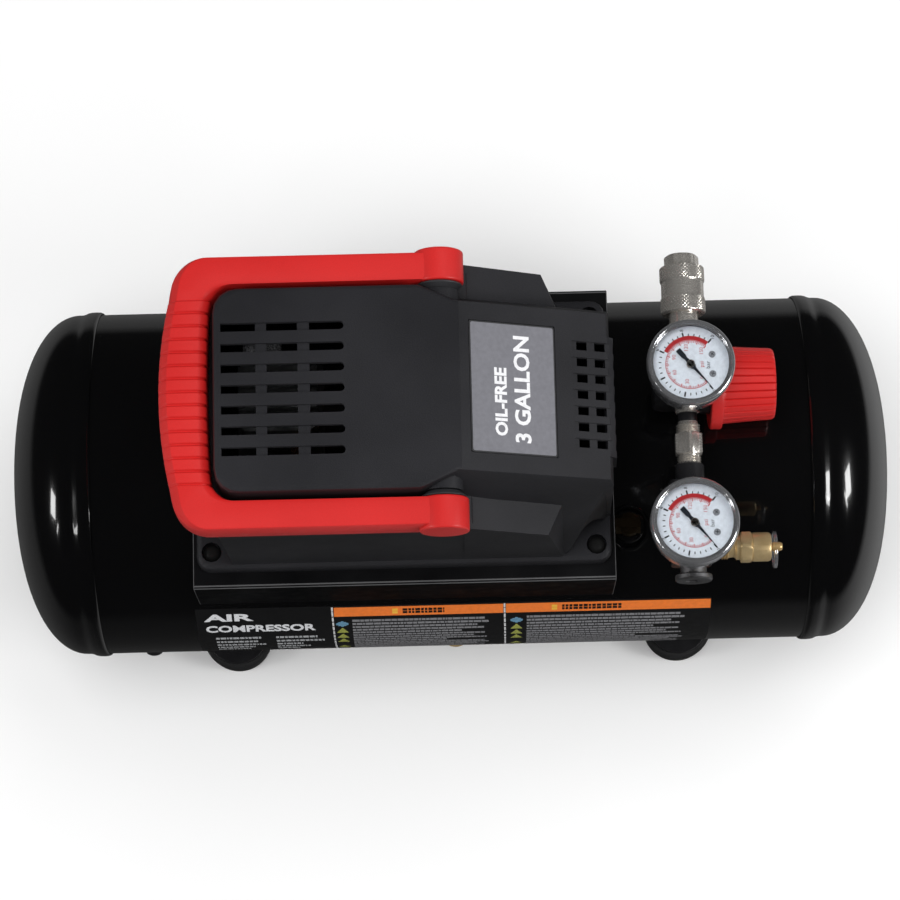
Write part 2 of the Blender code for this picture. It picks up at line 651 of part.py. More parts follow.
def shroud_masses(t):
    """The solids that make up the cover, drawn t millimetres inside its outer surface."""
    low = 90.0 if t else 99.0
    top = TOP_Z - t
    wide, slim = TOP_HALF - t, PANEL_HALF - t

    def plan(inset, half, left, neck):
        corners = [(left + inset, -half + inset), (-14, -half + inset), (BREAK_X + 2, -neck + inset),
                   (BREAK_X + 2, neck - inset), (-14, half - inset), (left + inset, half - inset)]
        return rounded(corners, [12, 10, 0, 0, 10, 12], 4)

    left = TOP_LEFT + t
    upper = loft_z([(plan(0, wide + 1.2, left - 1.5, slim + 1.2), 150),
                    (plan(0, wide, left, slim), top - 2.2),
                    (plan(0.7, wide, left, slim), top - 0.7),
                    (plan(2.2, wide, left, slim), top)])
    end_x, end_z = PANEL_END[0] - t, panel_z(PANEL_END[0]) - t
    slope = []
    for s in (-1, 1):
        slope += [(-20, s * slim, top - 0.2), (BREAK_X, s * slim, top - 0.2), (end_x, s * slim, end_z),
                  (end_x + 1.5, s * (slim + 2), end_z - 4), (-20, s * (slim + 10), 176),
                  (BREAK_X, s * (slim + 10), 176), (54, s * (slim + 9.5), 150), (-20, s * (slim + 10), low),
                  (81 - t, s * (slim + 3), low)]
    skirt = []
    for s in (-1, 1):
        for px, py in ((20, 66.2), (57, 66.2), (66, 58.2), (76, 49.4), (81, 44)):
            skirt.append((px - t * 0.6, s * (py - t), low))
        skirt += [(20, s * slim, panel_z(20) - t - 3), (end_x, s * slim, end_z - 3)]
    body = [(-127.5 + t, -66.2 + t), (20, -66.2 + t), (20, 66.2 - t), (-127.5 + t, 66.2 - t)]
    shoulder = [(-123.5 + t, -65.0 + t), (10.5, -65.0 + t), (10.5, 65.0 - t), (-123.5 + t, 65.0 - t)]
    ledge = LEDGE_Z - t
    base = loft_z([(rounded(body, [6, 0, 0, 6], 3), low), (rounded(shoulder, [6, 0, 0, 6], 3), ledge - 2),
                   (rounded([(px * 0.985, py * 0.97) for px, py in shoulder], [6, 0, 0, 6], 3), ledge)])
    pods = []
    for s in (-1, 1):
        points = []
        for px, py, pz, flare in ((6, 47, 182.5, 0), (6, 66.0, 182.5, 0), (54.5, 50.5, 156.0, 7.5),
                                  (47.5, 66.0, 160.0, 9.5)):
            bulge = 1.2 if s > 0 and py > 60 else 0.0
            points += [(px if px == 6 else px - t, s * (py + bulge - (t if py > 60 else 0)), pz - t),
                       (px if px == 6 else px - t + flare, s * (py + 0.2 - (t if py > 60 else 0)), low)]
        for px in (6, 50 - t):
            points += [(px, s * 30, 150), (px, s * 30, low)]
        pods.append(hull(points))
    grille = []
    for s in (-1, 1):
        for px, pz in ((56, panel_z(56) - 2), (GRILLE_END[0] - 3, panel_z(GRILLE_END[0] - 3)), GRILLE_END,
                       (GRILLE_END[0] + 0.6, 150), (60, 150)):
            grille.append((px - t * (px > 60), s * (GRILLE_HALF - t), pz - t))
    return [base, upper, hull(slope), hull(skirt), hull(grille)] + pods


def build_shroud():
    scoops = []
    deeper = []
    for sx, sy in SCREW_XY:
        rise = SCOOP_TALL if sx < 0 else SCOOP_LOW
        outer = [(SCOOP_R, FLANGE_TOP)] + rise
        inner = [(SCOOP_R + SKIN, 80)] + [(radius + SKIN, z + 1) for radius, z in rise]
        scoops.append(lathe(outer, (sx, sy, 0), Z_AXIS, 20))
        deeper.append(lathe(inner, (sx, sy, 0), Z_AXIS, 20))

    def rim_at(inset):
        near, far, half = FLANGE_X[0] + inset, FLANGE_X[1] - inset, FLANGE_HALF - inset
        return rounded([(near, -half), (far, -half), (far, half), (near, half)], [7 - inset] * 4)

    flange = loft_z([(rim_at(0), PLATE_TOP + GAP), (rim_at(0), FLANGE_TOP - 2.4),
                     (rim_at(0.8), FLANGE_TOP - 0.7), (rim_at(2.6), FLANGE_TOP)])
    outside = cut(join(*shroud_masses(0)), *scoops)
    inside = cut(join(*shroud_masses(SKIN)), *deeper)
    pads = [rod(9.6, (PIVOT_X, s * 42, PIVOT_Z), (PIVOT_X, s * 50, PIVOT_Z), 20) for s in (-1, 1)]
    cover = join(cut(join(outside, flange), inside), *pads)

    tools = []
    for row in range(VENT_ROWS):
        y = (row - (VENT_ROWS - 1) / 2) * VENT_PITCH
        for k, (x0, x1) in enumerate(VENT_COLUMNS):
            end = 1.7 if k == 2 else 0.0
            slot = rounded([(x0, y - 1.95), (x1, y - 1.95), (x1, y + 1.95), (x0, y + 1.95)], [0, end, end, 0], 2)
            tools.append(extrude(slot, (TOP_Z - 6, TOP_Z + 2)))
        x0, x1 = VENT_COLUMNS[0][0] - 0.1, VENT_COLUMNS[2][1] + 0.1
        groove = rounded([(x0, y - 2.1), (x1, y - 2.1), (x1, y + 2.1), (x0, y + 2.1)], [0, 1.8, 1.8, 0], 2)
        tools.append(extrude(groove, (TOP_Z - 1.2, TOP_Z + 3)))
        y = (row - (VENT_ROWS - 1) / 2) * SIDE_VENT_PITCH
        for x0, x1 in ((63.4, 68.6), (72.4, 77.6)):
            tools.append(box((x0, x1), (y - 2.15, y + 2.15), (panel_z(x0) - 10, panel_z(x0) + 4)))
        tools.append(panel_slab((61.2, 84.0), (y - 2.3, y + 2.3), -0.8, 4.0))
        tools.append(box((GRILLE_END[0] - 0.3, 90), (y - 2.3, y + 2.3), (151, 180)))
        tools.append(box((76, 86), (y - 2, y + 2), (152, 166)))
    for s in (-1, 1):
        tools.append(rod(4.6, (PIVOT_X, s * 36, PIVOT_Z), (PIVOT_X, s * 52, PIVOT_Z), 16))
    for sx, sy in SCREW_XY:
        tools.append(rod(5.2, (sx, sy, 98.5), (sx, sy, 106), 12))
        tools.append(rod(2.3, (sx, sy, 94), (sx, sy, 99), 8))
    tools.append(box((24.0, 38.0), (58, 70), (110.4, 133.6)))
    tools.append(rod(6.7, (-45, 55, 118), (-45, 72, 118), 16))
    tools.append(label_slab(-0.9, 3.0, 0.3))
    finish("shroud", cut(cover, *tools), CHARCOAL, crease=30)
    finish("shroud_label", label_slab(-0.6, 0.05, 0.0), LABEL_GREY)
    for name, (sx, sy) in zip(("front_left", "front_right", "rear_right", "rear_left"), SCREW_XY):
        screw = [(0, 88), (1.9, 88), (1.9, 98.8), (4.6, 98.8), (4.6, 100.6), (3.6, 101.8), (1.6, 102.2),
                 (1.4, 100.6), (0, 100.6)]
        finish("shroud_screw_" + name, lathe(screw, (sx, sy, 0), Z_AXIS, 8), STEEL)


def panel_slab(x, y, low, high):
    """A slab lying on the sloping panel, between two heights measured square to it."""
    tilt = math.atan2(TOP_Z - PANEL_END[1], PANEL_END[0] - BREAK_X)
    up = Vector((math.sin(tilt), 0, math.cos(tilt)))
    plan = ((x[0], y[0]), (x[1], y[0]), (x[1], y[1]), (x[0], y[1]))
    corners = [Vector((px, py, panel_z(px) - 0.2)) for px, py in plan]
    bm = bmesh.new()
    skin_rings(bm, [[c + up * low for c in corners], [c + up * high for c in corners]])
    return bm


def label_slab(low, high, grow):
    """The label, or the recess that it lies in when grown by its clearance."""
    return panel_slab((10.6 - grow, 52.4 + grow), (-32.8 - grow, 32.8 + grow), low, high)


def handle_outline(t):
    """The U of the carry handle in plan, drawn t millimetres inside its edges."""
    out_y, in_y = ARM_OUT - t, ARM_IN + t
    outer, inner = [], []
    steps = 20
    for k in range(steps + 1):
        y = -in_y + 13 + (2 * in_y - 26) * k / steps
        bow = 2.6 * (1 - (y / 60) ** 2)
        scallop = 0.9 * abs(math.sin(math.pi * k / 2)) if 1 < k < steps - 1 else 0.0
        inner.append((GRIP_X[1] + 2.6 - bow - scallop - t, y))
    for k in range(9):
        a = math.radians(83) * k / 8
        radius = 18 - t
        outer.append((-117 - radius * math.sin(a), 18 - ARM_OUT - radius * math.cos(a)))
    for k in range(9):
        y = -46 + 92 * k / 8
        outer.append((GRIP_X[0] + 6.1 * (y / 51) ** 2 + t, y))
    outer += [(px, -py) for px, py in reversed(outer[:9])]
    turn_in = []
    for k in range(5):
        a = math.pi / 2 * k / 5
        turn_in.append((inner[0][0] + 12.5 * (1 - math.sin(a)), -in_y + 13 * (1 - math.cos(a))))
    far_in = [(px, -py) for px, py in turn_in]
    return ([(PIVOT_X, -out_y)] + outer + [(PIVOT_X, out_y), (PIVOT_X, in_y)] + far_in
            + list(reversed(inner)) + turn_in[::-1] + [(PIVOT_X, -in_y)])


def build_handle():
    layers = [(1.0, ARM_LOW), (0.0, ARM_LOW + 1.5), (0.0, ARM_TOP - 3.2), (0.8, ARM_TOP - 1.1), (2.6, ARM_TOP)]
    grip = loft_z([(handle_outline(t), h) for t, h in layers])
    bosses = []
    for s in (-1, 1):
        profile = [(BOSS_R, ARM_IN), (BOSS_R, BOSS_OUT - 1.6), (BOSS_R - 1.6, BOSS_OUT)]
        bosses.append(lathe(profile, (PIVOT_X, 0, PIVOT_Z), Y_AXIS * s, 24))
    bore = rod(4.4, (PIVOT_X, -66.8, PIVOT_Z), (PIVOT_X, 66.8, PIVOT_Z), 16)
    finish("handle", cut(join(grip, *bosses), bore), RED_PLASTIC, origin=(PIVOT_X, 0, PIVOT_Z), crease=32)
    for name, s in (("front", -1), ("rear", 1)):
        pivot = lathe([(0, 40.5), (4.2, 40.5), (4.2, 50.3), (8.4, 50.3), (9.0, 50.9), (11.2, 52.5),
                       (11.4, 53.3), (4.2, 53.3),
                       (4.2, 65.9), (3.6, 66.5), (0, 66.5)], (PIVOT_X, 0, PIVOT_Z), Y_AXIS * s, 16)
        finish("handle_pivot_" + name, pivot, STEEL)


# ---------------------------------------------------------------- outlet fittings


def build_gauge(name, at):
    gx, gy = at
    centre = (gx, gy, 0)
    cup = [(0, 140.2), (19.4, 140.2), (20.8, 141.6), (20.8, 153.6), (GAUGE_R, 154.4), (GAUGE_R, 159.4),
           (20.9, GAUGE_TOP), (19.0, GAUGE_TOP - 0.5), (18.8, 159.4), (20.2, 159.3), (20.2, 152.6),
           (19.0, 152.4), (19.0, 142.2), (0, 142.2)]
    stem = rod(7.2, (gx, gy, 131.6), (gx, gy, 141.0), 6)
    finish(name + "_case", join(lathe(cup, centre, Z_AXIS, 28), stem), CHROME)
    dial = lathe([(1.9, 152.7), (19.9, 152.7), (19.9, 153.5), (1.9, 153.5)], centre, Z_AXIS, 20, closed=True)
    finish(name + "_dial", dial, WHITE)
    lens = lathe([(0, 158.0), (19.9, 158.0), (19.9, 159.0), (0, 159.4)], centre, Z_AXIS, 24)
    finish(name + "_lens", lens, GLASS)
    aim = math.radians(-50)
    along = Vector((math.cos(aim), math.sin(aim)))
    across = Vector((-along.y, along.x))
    blade = [(14.6, 0.0), (3.4, 0.75), (-4.0, 0.55), (-7.0, 1.35), (-9.6, 1.35), (-9.6, -1.35), (-7.0, -1.35),
             (-4.0, -0.55), (3.4, -0.75)]
    flat = [tuple(Vector((gx, gy)) + along * a + across * b) for a, b in blade]
    hub = lathe([(0, 150.5), (1.4, 150.5), (1.4, 154.4), (2.1, 154.6), (2.1, 156.0), (1.5, 156.4), (0, 156.4)],
                centre, Z_AXIS, 10)
    finish(name + "_pointer", join(extrude(flat, (155.0, 155.6)), hub), BLACK_PLASTIC, origin=(gx, gy, 155.3))


def build_regulator():
    line = (LINE_X, 0, LINE_Z)
    block = rounded([(104, 101.5), (130.5, 101.5), (130.5, 131.2), (104, 131.2)], [7, 3, 3, 7], 3)
    body = join(
        extrude_y(block, (8.6, 35.0)),
        lathe([(9.2, 34), (9.2, 47.6), (6.0, 48.6)], line, Y_AXIS, 16),
        lathe([(6.2, 9.6), (6.2, 4.4), (5.0, 4.0), (5.0, 0.0)], line, Y_AXIS, 16),
        rod(14.0, (129, KNOB_Y, LINE_Z), (154, KNOB_Y, LINE_Z), 20),
    )
    finish("regulator_body", cut(body, rod(3.6, (LINE_X, -2, LINE_Z), (LINE_X, 52, LINE_Z), 12)), SATIN_BLACK)

    ribs = 22
    rings = []
    layers = [(22.6, 132.8, 0), (22.6, 138.4, 0), (19.4, 139.4, 1), (18.2, 163.2, 1), (16.0, 166.0, 0)]
    for radius, x, depth in layers:
        ring = []
        for i in range(ribs * 2):
            a = math.pi * i / ribs
            r = radius - (0.9 * depth if i % 2 else 0.0)
            ring.append(Vector((x, KNOB_Y + r * math.cos(a), LINE_Z + r * math.sin(a))))
        rings.append(ring)
    bm = bmesh.new()
    skin_rings(bm, rings)
    bore = lathe([(15.0, 132), (15.0, 158), (0, 158)], (0, KNOB_Y, LINE_Z), X_AXIS, 20)
    dish = lathe([(12.4, 164.8), (13.0, 167.3)], (0, KNOB_Y, LINE_Z), X_AXIS, 20)
    finish("regulator_knob", cut(bm, bore, dish), RED_PLASTIC, origin=(150, KNOB_Y, LINE_Z))


def build_coupler():
    line = (LINE_X, 0, LINE_Z)
    profile = [(3.4, 49.0), (7.4, 49.0), (7.4, 59.0), (7.9, 59.2), (7.9, 86.9),
               (7.4, 87.7), (6.2, 87.7), (6.2, 72.0), (4.9, 71.0), (4.9, 60.0), (3.4, 59.0)]
    nose = cut(hexagon(15.4, (LINE_X, 82.2, LINE_Z), (LINE_X, 87.2, LINE_Z), math.radians(30)),
               rod(7.0, (LINE_X, 80, LINE_Z), (LINE_X, 95, LINE_Z), 20))
    finish("coupler_body", join(lathe(profile, line, Y_AXIS, 20, closed=True), nose), NICKEL)
    rings = []
    for radius, y, knurl in ((10.2, 56.4, 0), (11.5, 57.2, 1), (11.5, 64.3, 1), (10.9, 65.0, 0), (10.9, 73.0, 0),
                             (11.5, 73.7, 1), (11.5, 80.5, 1), (10.4, 81.3, 0), (8.2, 81.3, 0), (8.2, 56.4, 0)):
        ring = []
        for i in range(32):
            a = 2 * math.pi * i / 32
            r = radius - (0.45 if knurl and i % 2 else 0.0)
            ring.append(Vector((LINE_X + r * math.cos(a), y, LINE_Z + r * math.sin(a))))
        rings.append(ring)
    bm = bmesh.new()
    skin_rings(bm, rings, closed_path=True)
    finish("coupler_sleeve", bm, NICKEL, origin=(LINE_X, 72, LINE_Z))
    poppet = lathe([(0, 64.0), (2.4, 64.0), (2.4, 66.0), (4.6, 66.4), (4.6, 69.0), (3.0, 70.4), (1.8, 70.6),
                    (1.8, 71.5), (0, 71.5)], line, Y_AXIS, 12)
    finish("coupler_poppet", poppet, BRASS, origin=(LINE_X, 67, LINE_Z))


def build_manifold():
    gx, gy = GAUGE_LOWER
    nipple = join(
        lathe([(2.6, -22.6), (5.6, -22.6), (5.6, -18.4), (6.2, -18.0), (6.2, -6.0), (5.6, -5.6), (5.6, -1.0),
               (5.0, -0.3), (2.6, -0.3)], (LINE_X, 0, LINE_Z), Y_AXIS, 14, closed=True),
        cut(hexagon(13.6, (LINE_X, -18.0, LINE_Z), (LINE_X, -6.0, LINE_Z), math.radians(30)),
            rod(4.0, (LINE_X, -20, LINE_Z), (LINE_X, 0, LINE_Z), 14)),
    )
    finish("hex_nipple", nipple, NICKEL)

    block = rounded([(110.6, 106.0), (131.0, 106.0), (131.0, 126.5), (110.6, 126.5)], [4, 4, 4, 4], 3)
    body = join(
        extrude_y(block, (-74.0, -32.0)),
        rod(7.4, (LINE_X, -34, LINE_Z), (LINE_X, -22.9, LINE_Z), 14),
        rod(8.6, (gx, gy, 120), (gx, gy, 131.2), 14),
        rod(9.2, (LINE_X, PORT_Y, 90.4), (LINE_X, PORT_Y, 108), 6, math.radians(30)),
        rod(7.0, (LINE_X, PORT_Y, 76), (LINE_X, PORT_Y, 92), 16),
    )
    tools = [rod(3.6, (LINE_X, -70, LINE_Z), (LINE_X, -20, LINE_Z), 12),
             rod(3.4, (LINE_X, PORT_Y, 70), (LINE_X, PORT_Y, LINE_Z), 12)]
    finish("manifold", cut(body, *tools), SATIN_BLACK)

    plug = lathe([(0, 74.3), (6.6, 74.3), (6.6, 79.4), (9.2, 79.7), (9.4, 82.0), (8.6, 82.8), (0, 82.8)],
                 (LINE_X, 0, LINE_Z), -Y_AXIS, 18)
    finish("front_plug", plug, CHROME)

    vy = -66.0
    body = join(
        lathe([(0, 131.3), (6.0, 131.3), (6.0, 140.8), (5.0, 141.4), (5.0, 142.6), (6.4, 143.2), (6.4, 146.0),
               (7.4, 150.0), (7.4, 160.4), (6.4, 161.0), (0, 161.0)], (0, vy, LINE_Z), X_AXIS, 16),
        hexagon(14.6, (145.4, vy, LINE_Z), (151.2, vy, LINE_Z), math.radians(30)),
    )
    finish("safety_valve_body", cut(body, rod(2.2, (152, vy, LINE_Z), (170, vy, LINE_Z), 12)), BRASS)
    stem = rod(1.9, (153.5, vy, LINE_Z), (166.8, vy, LINE_Z), 12)
    loop = bmesh.new()
    hoop = []
    for i in range(22):
        a = 2 * math.pi * i / 22
        out = Vector((0, math.sin(a), math.cos(a)))
        centre = Vector((163.6, vy, LINE_Z - 8.2)) + out * 9.0
        hoop.append([centre + out * 0.85 * math.cos(b) + X_AXIS * 0.85 * math.sin(b)
                     for b in (2 * math.pi * k / 6 for k in range(6))])
    skin_rings(loop, hoop, closed_path=True)
    finish("safety_valve_stem", join(stem, loop), BRASS, origin=(160, vy, LINE_Z))


build_tank()
build_heads()
build_legs()
build_tank_fittings()
build_plate()
build_pump()
build_electrics()
build_shroud()
build_handle()
build_gauge("gauge_upper", GAUGE_UPPER)
build_gauge("gauge_lower", GAUGE_LOWER)
build_regulator()
build_coupler()
build_manifold()
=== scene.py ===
"""Looks of the hotdog air compressor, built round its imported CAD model.

Shapes are drawn in millimetres about the tank's axis, as in the CAD source: X along the tank
(outlet fittings at +X), -Y to the front, +Z up. put() lifts them by TANK_Z and scales to metres.
"""

import math
import random

import bmesh
import bpy
from mathutils import Matrix, Vector


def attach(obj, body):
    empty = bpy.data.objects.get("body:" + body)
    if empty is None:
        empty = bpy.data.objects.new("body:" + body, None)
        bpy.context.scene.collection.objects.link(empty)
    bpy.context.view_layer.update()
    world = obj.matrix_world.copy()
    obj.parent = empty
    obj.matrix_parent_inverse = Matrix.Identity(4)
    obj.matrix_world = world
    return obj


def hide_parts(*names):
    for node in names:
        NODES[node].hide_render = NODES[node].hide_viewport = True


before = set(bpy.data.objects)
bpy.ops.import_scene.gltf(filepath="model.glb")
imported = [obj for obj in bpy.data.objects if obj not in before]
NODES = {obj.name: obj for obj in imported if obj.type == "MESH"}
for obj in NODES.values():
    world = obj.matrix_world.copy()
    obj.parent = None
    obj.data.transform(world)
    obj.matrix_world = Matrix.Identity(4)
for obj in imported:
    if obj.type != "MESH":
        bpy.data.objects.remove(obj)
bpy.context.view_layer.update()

MM = 0.001
TANK_Z = 122.0
TANK_R = 92.0
X_AXIS = Vector((1, 0, 0))
Y_AXIS = Vector((0, 1, 0))
Z_AXIS = Vector((0, 0, 1))
ROOT = "compressor"
# Where the air line runs along Y, and the lines along X of the regulator's knob and safety valve.
AIR_LINE = (121.5, 0, 116.0)
KNOB_AT = (0, 18.7, 116.0)
SAFETY_AT = (0, -66.0, 116.0)
DRAIN_X = 0.7
DRAIN_ANGLE = math.radians(140)
SMOOTH_BELOW = 38
BEVEL_ABOVE = 28


# ---- shapes


def frame_at(origin, axis, turn=0.0):
    """A matrix whose Z runs along axis from origin, turned about it by an angle."""
    z = Vector(axis).normalized()
    helper = Vector((0, 0, 1)) if abs(z.z) < 0.9 else Vector((1, 0, 0))
    x = helper.cross(z).normalized()
    y = z.cross(x)
    turned = Matrix((x, y, z)).transposed().to_4x4() @ Matrix.Rotation(turn, 4, "Z")
    return Matrix.Translation(Vector(origin)) @ turned


def skin(bm, rings, loop=False, slot=0):
    """Faces between successive rings, with caps on an open stack. A ring may be one point."""
    made = [[bm.verts.new(p) for p in ring] for ring in rings]
    pairs = list(zip(made, made[1:]))
    if loop:
        pairs.append((made[-1], made[0]))
    faces = []
    for low, high in pairs:
        count = max(len(low), len(high))
        for i in range(count):
            j = (i + 1) % count
            corners = [low[i % len(low)], low[j % len(low)], high[j % len(high)], high[i % len(high)]]
            faces.append(bm.faces.new(tuple(dict.fromkeys(corners))))
    if not loop:
        faces += [bm.faces.new(ring) for ring in (made[0][::-1], made[-1]) if len(ring) > 1]
    for face in faces:
        face.material_index = slot


def lathe(bm, profile, origin, axis, segments=64, loop=False, turn=0.0, wave=None, slot=0):
    """Adds a turned solid. profile is (radius, height) pairs; wave(radius, height, angle) may
    reshape the radius."""
    place = frame_at(origin, axis, turn)
    angles = [2 * math.pi * i / segments for i in range(segments)]
    rings = []
    for radius, height in profile:
        if radius < 1e-6:
            rings.append([place @ Vector((0, 0, height))])
            continue
        reach = [wave(radius, height, a) if wave else radius for a in angles]
        ring = [(r * math.cos(a), r * math.sin(a), height) for r, a in zip(reach, angles)]
        rings.append([place @ Vector(point) for point in ring])
    skin(bm, rings, loop, slot)


def hexagon(reach, start, low=-math.inf, high=math.inf, turn=0.0):
    """A wave for lathe: cuts six flats, at reach from the axis, where the radius is start or more."""

    def wave(radius, height, angle):
        if radius < start or not low < height < high:
            return radius
        a = (angle + turn) % (math.pi / 3) - math.pi / 6
        return min(radius, reach / math.cos(a))

    return wave


def circle(centre, out, up, radius, count):
    """The points of a circle in the plane of two unit vectors."""
    turns = [2 * math.pi * k / count for k in range(count)]
    return [centre + out * radius * math.cos(b) + up * radius * math.sin(b) for b in turns]


def rounded(before, here, after, radius, share, least, steps):
    """The points that replace one corner; each side gives up at most its share."""
    back, ahead = before - here, after - here
    reach = min(radius, back.length * share, ahead.length * share)
    if reach < least:
        return [here]
    a = here + back.normalized() * reach
    b = here + ahead.normalized() * reach
    times = [k / steps for k in range(steps + 1)]
    return [a * (1 - t) ** 2 + here * 2 * t * (1 - t) + b * t * t for t in times]


def soften(profile, radius, steps=3):
    """A turned profile with its corners rounded; ends stay put."""
    points = [Vector(p) for p in profile]
    out = [points[0]]
    for before, here, after in zip(points, points[1:], points[2:]):
        out += rounded(before, here, after, radius, 0.45, 0.02, steps)
    out.append(points[-1])
    return [tuple(p) for p in out]


def prism(bm, outline, low, high, to, slot=0):
    """Adds a prism of a 2-D outline; to(u, v, h) gives the 3-D point."""
    skin(bm, [[to(u, v, h) for u, v in outline] for h in (low, high)], slot=slot)


def fillet(corners, radii, steps):
    """A closed 2-D outline with rounded corners; radii holds one radius for each corner."""
    points = [Vector(c) for c in corners]
    out = []
    for i, radius in enumerate(radii):
        after = points[(i + 1) % len(points)]
        out += rounded(points[i - 1], points[i], after, radius, 0.49, 0.01, steps)
    return [tuple(p) for p in out]


def merge(bm, extra):
    """Adds the faces of a scratch mesh to bm, and frees it."""
    mesh = bpy.data.meshes.new("scratch")
    extra.to_mesh(mesh)
    extra.free()
    bm.from_mesh(mesh)
    bpy.data.meshes.remove(mesh)


def put(name, bm, mats, body=ROOT, stands_for=None, slot=None, crease=35):
    """Makes the named piece from a mesh drawn in millimetres, and rides it on its body."""
    for vert in bm.verts:
        vert.co = Vector((vert.co.x, vert.co.y, vert.co.z + TANK_Z)) * MM
    bmesh.ops.recalc_face_normals(bm, faces=bm.faces)
    mesh = bpy.data.meshes.new(name)
    bm.to_mesh(mesh)
    bm.free()
    for mat in mats if isinstance(mats, (list, tuple)) else [mats]:
        mesh.materials.append(mat)
    mesh.shade_smooth()
    mesh.set_sharp_from_angle(angle=math.radians(crease))
    made = bpy.data.objects.new(name, mesh)
    bpy.context.scene.collection.objects.link(made)
    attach(made, body)
    if stands_for:
        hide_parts(stands_for)
    return made


def turned(name, mats, profile, at, axis, segments, body=ROOT, stands_for=None, slot=None,
           crease=35, **shape):
    """Makes a piece that is one turned solid."""
    bm = bmesh.new()
    lathe(bm, profile, at, axis, segments, **shape)
    put(name, bm, mats, body, stands_for, slot, crease)


# ---- materials


def math_node(tree, kind, a, b):
    """The result of a math node; a and b are numbers or sockets."""
    made = tree.nodes.new("ShaderNodeMath")
    made.operation = kind
    for socket, value in zip(made.inputs, (a, b)):
        if isinstance(value, (int, float)):
            socket.default_value = value
        else:
            tree.links.new(value, socket)
    return made.outputs[0]


class Graph:
    """Short-hand for building a node tree on one Principled material."""

    def __init__(self, name, colour, rough=0.5, metal=0.0, **sockets):
        self.mat = bpy.data.materials.new(name)
        self.mat.use_nodes = True
        self.tree = self.mat.node_tree
        self.shader = self.tree.nodes["Principled BSDF"]
        base = {"Base_Color": (*colour, 1), "Roughness": rough, "Metallic": metal}
        for key, value in {**base, **sockets}.items():
            self.shader.inputs[key.replace("_", " ")].default_value = value
        self.coords = self.tree.nodes.new("ShaderNodeTexCoord").outputs["Object"]
        self.height = None

    def link(self, a, b):
        self.tree.links.new(a, b)

    def node(self, kind, **values):
        made = self.tree.nodes.new(kind)
        for key, value in values.items():
            if hasattr(made, key):
                setattr(made, key, value)
            else:
                made.inputs[key.replace("_", " ")].default_value = value
        return made

    def stretched(self, scale):
        mapping = self.node("ShaderNodeMapping", Scale=scale)
        self.link(self.coords, mapping.inputs["Vector"])
        return mapping.outputs["Vector"]

    def noise(self, scale, detail=3.0, stretch=None):
        made = self.node("ShaderNodeTexNoise", Scale=scale, Detail=detail)
        self.link(self.stretched(stretch) if stretch else self.coords, made.inputs["Vector"])
        return made.outputs["Fac"]

    def cells(self, scale):
        made = self.node("ShaderNodeTexVoronoi", Scale=scale)
        self.link(self.coords, made.inputs["Vector"])
        return made.outputs["Distance"]

    def span(self, value, low, high, start=0.0, end=1.0):
        """Maps value from start..end to low..high."""
        ends = {"From_Min": start, "From_Max": end, "To_Min": low, "To_Max": high}
        made = self.node("ShaderNodeMapRange", **ends)
        self.link(value, made.inputs["Value"])
        return made.outputs["Result"]

    def math(self, kind, a, b):
        return math_node(self.tree, kind, a, b)

    def tint(self, factor, first, second):
        made = self.node("ShaderNodeMix", data_type="RGBA")
        self.link(factor, made.inputs[0])
        for socket, value in zip((made.inputs[6], made.inputs[7]), (first, second)):
            if isinstance(value, tuple):
                socket.default_value = (*value, 1)
            else:
                self.link(value, socket)
        return made.outputs[2]

    def colour(self, value):
        self.link(value, self.shader.inputs["Base Color"])

    def rough(self, value, low, high, start=0.3, end=0.7):
        """Makes the roughness run from low to high as value runs from start to end."""
        self.link(self.span(value, low, high, start, end), self.shader.inputs["Roughness"])

    def bump(self, value, strength, distance=0.0005):
        made = self.node("ShaderNodeBump", Strength=strength, Distance=distance)
        self.link(value, made.inputs["Height"])
        if self.height is not None:
            self.link(self.height, made.inputs["Normal"])
        self.height = made.outputs["Normal"]
        self.link(self.height, self.shader.inputs["Normal"])


def gloss_paint():
    g = Graph("gloss_black_enamel", (0.002, 0.002, 0.0022), 0.16, Coat_Weight=1.0,
              Coat_Roughness=0.035, Specular_IOR_Level=0.35)
    dust = g.span(g.noise(900, 2), 0, 1, 0.70, 0.82)
    smear = g.span(g.noise(9, 4), 0, 1, 0.35, 0.75)
    specks = g.math("MULTIPLY", dust, smear)
    g.colour(g.tint(specks, (0.0016, 0.0016, 0.0018), (0.012, 0.012, 0.013)))
    g.rough(g.noise(14, 5), 0.10, 0.24)
    g.bump(g.noise(55, 2), 0.035, 0.0008)
    return g.mat


def satin_paint(name, colour, rough, grain=700, coat=0.25, level=0.5):
    g = Graph(name, colour, rough, Coat_Weight=coat, Coat_Roughness=0.25, Specular_IOR_Level=level)
    light = tuple(min(1, c * 1.8 + 0.006) for c in colour)
    g.colour(g.tint(g.span(g.noise(30, 5), 0, 0.6, 0.3, 0.8), colour, light))
    g.rough(g.noise(120, 4), rough - 0.08, rough + 0.1)
    g.bump(g.noise(grain, 2), 0.12, 0.0003)
    return g.mat


def moulded(name, colour, rough, grain, depth, mottle, coat=0.0):
    """Spark-eroded moulded plastic: a fine random grain, with faint flow marks."""
    g = Graph(name, colour, rough, Coat_Weight=coat, Coat_Roughness=0.3)
    dark = tuple(c * (1 - mottle) for c in colour)
    light = tuple(min(1.0, c * (1 + mottle) + 0.002) for c in colour)
    flow = g.math("MULTIPLY", g.noise(16, 4), 0.6)
    blend = g.math("ADD", flow, g.math("MULTIPLY", g.noise(grain, 2), 0.4))
    g.colour(g.tint(g.span(blend, 0, 1, 0.35, 0.65), dark, light))
    g.rough(g.noise(22, 5), rough - 0.07, rough + 0.08)
    g.bump(g.noise(grain, 3), depth, 0.0002)
    g.bump(g.noise(45, 2), 0.08, 0.0006)
    return g.mat


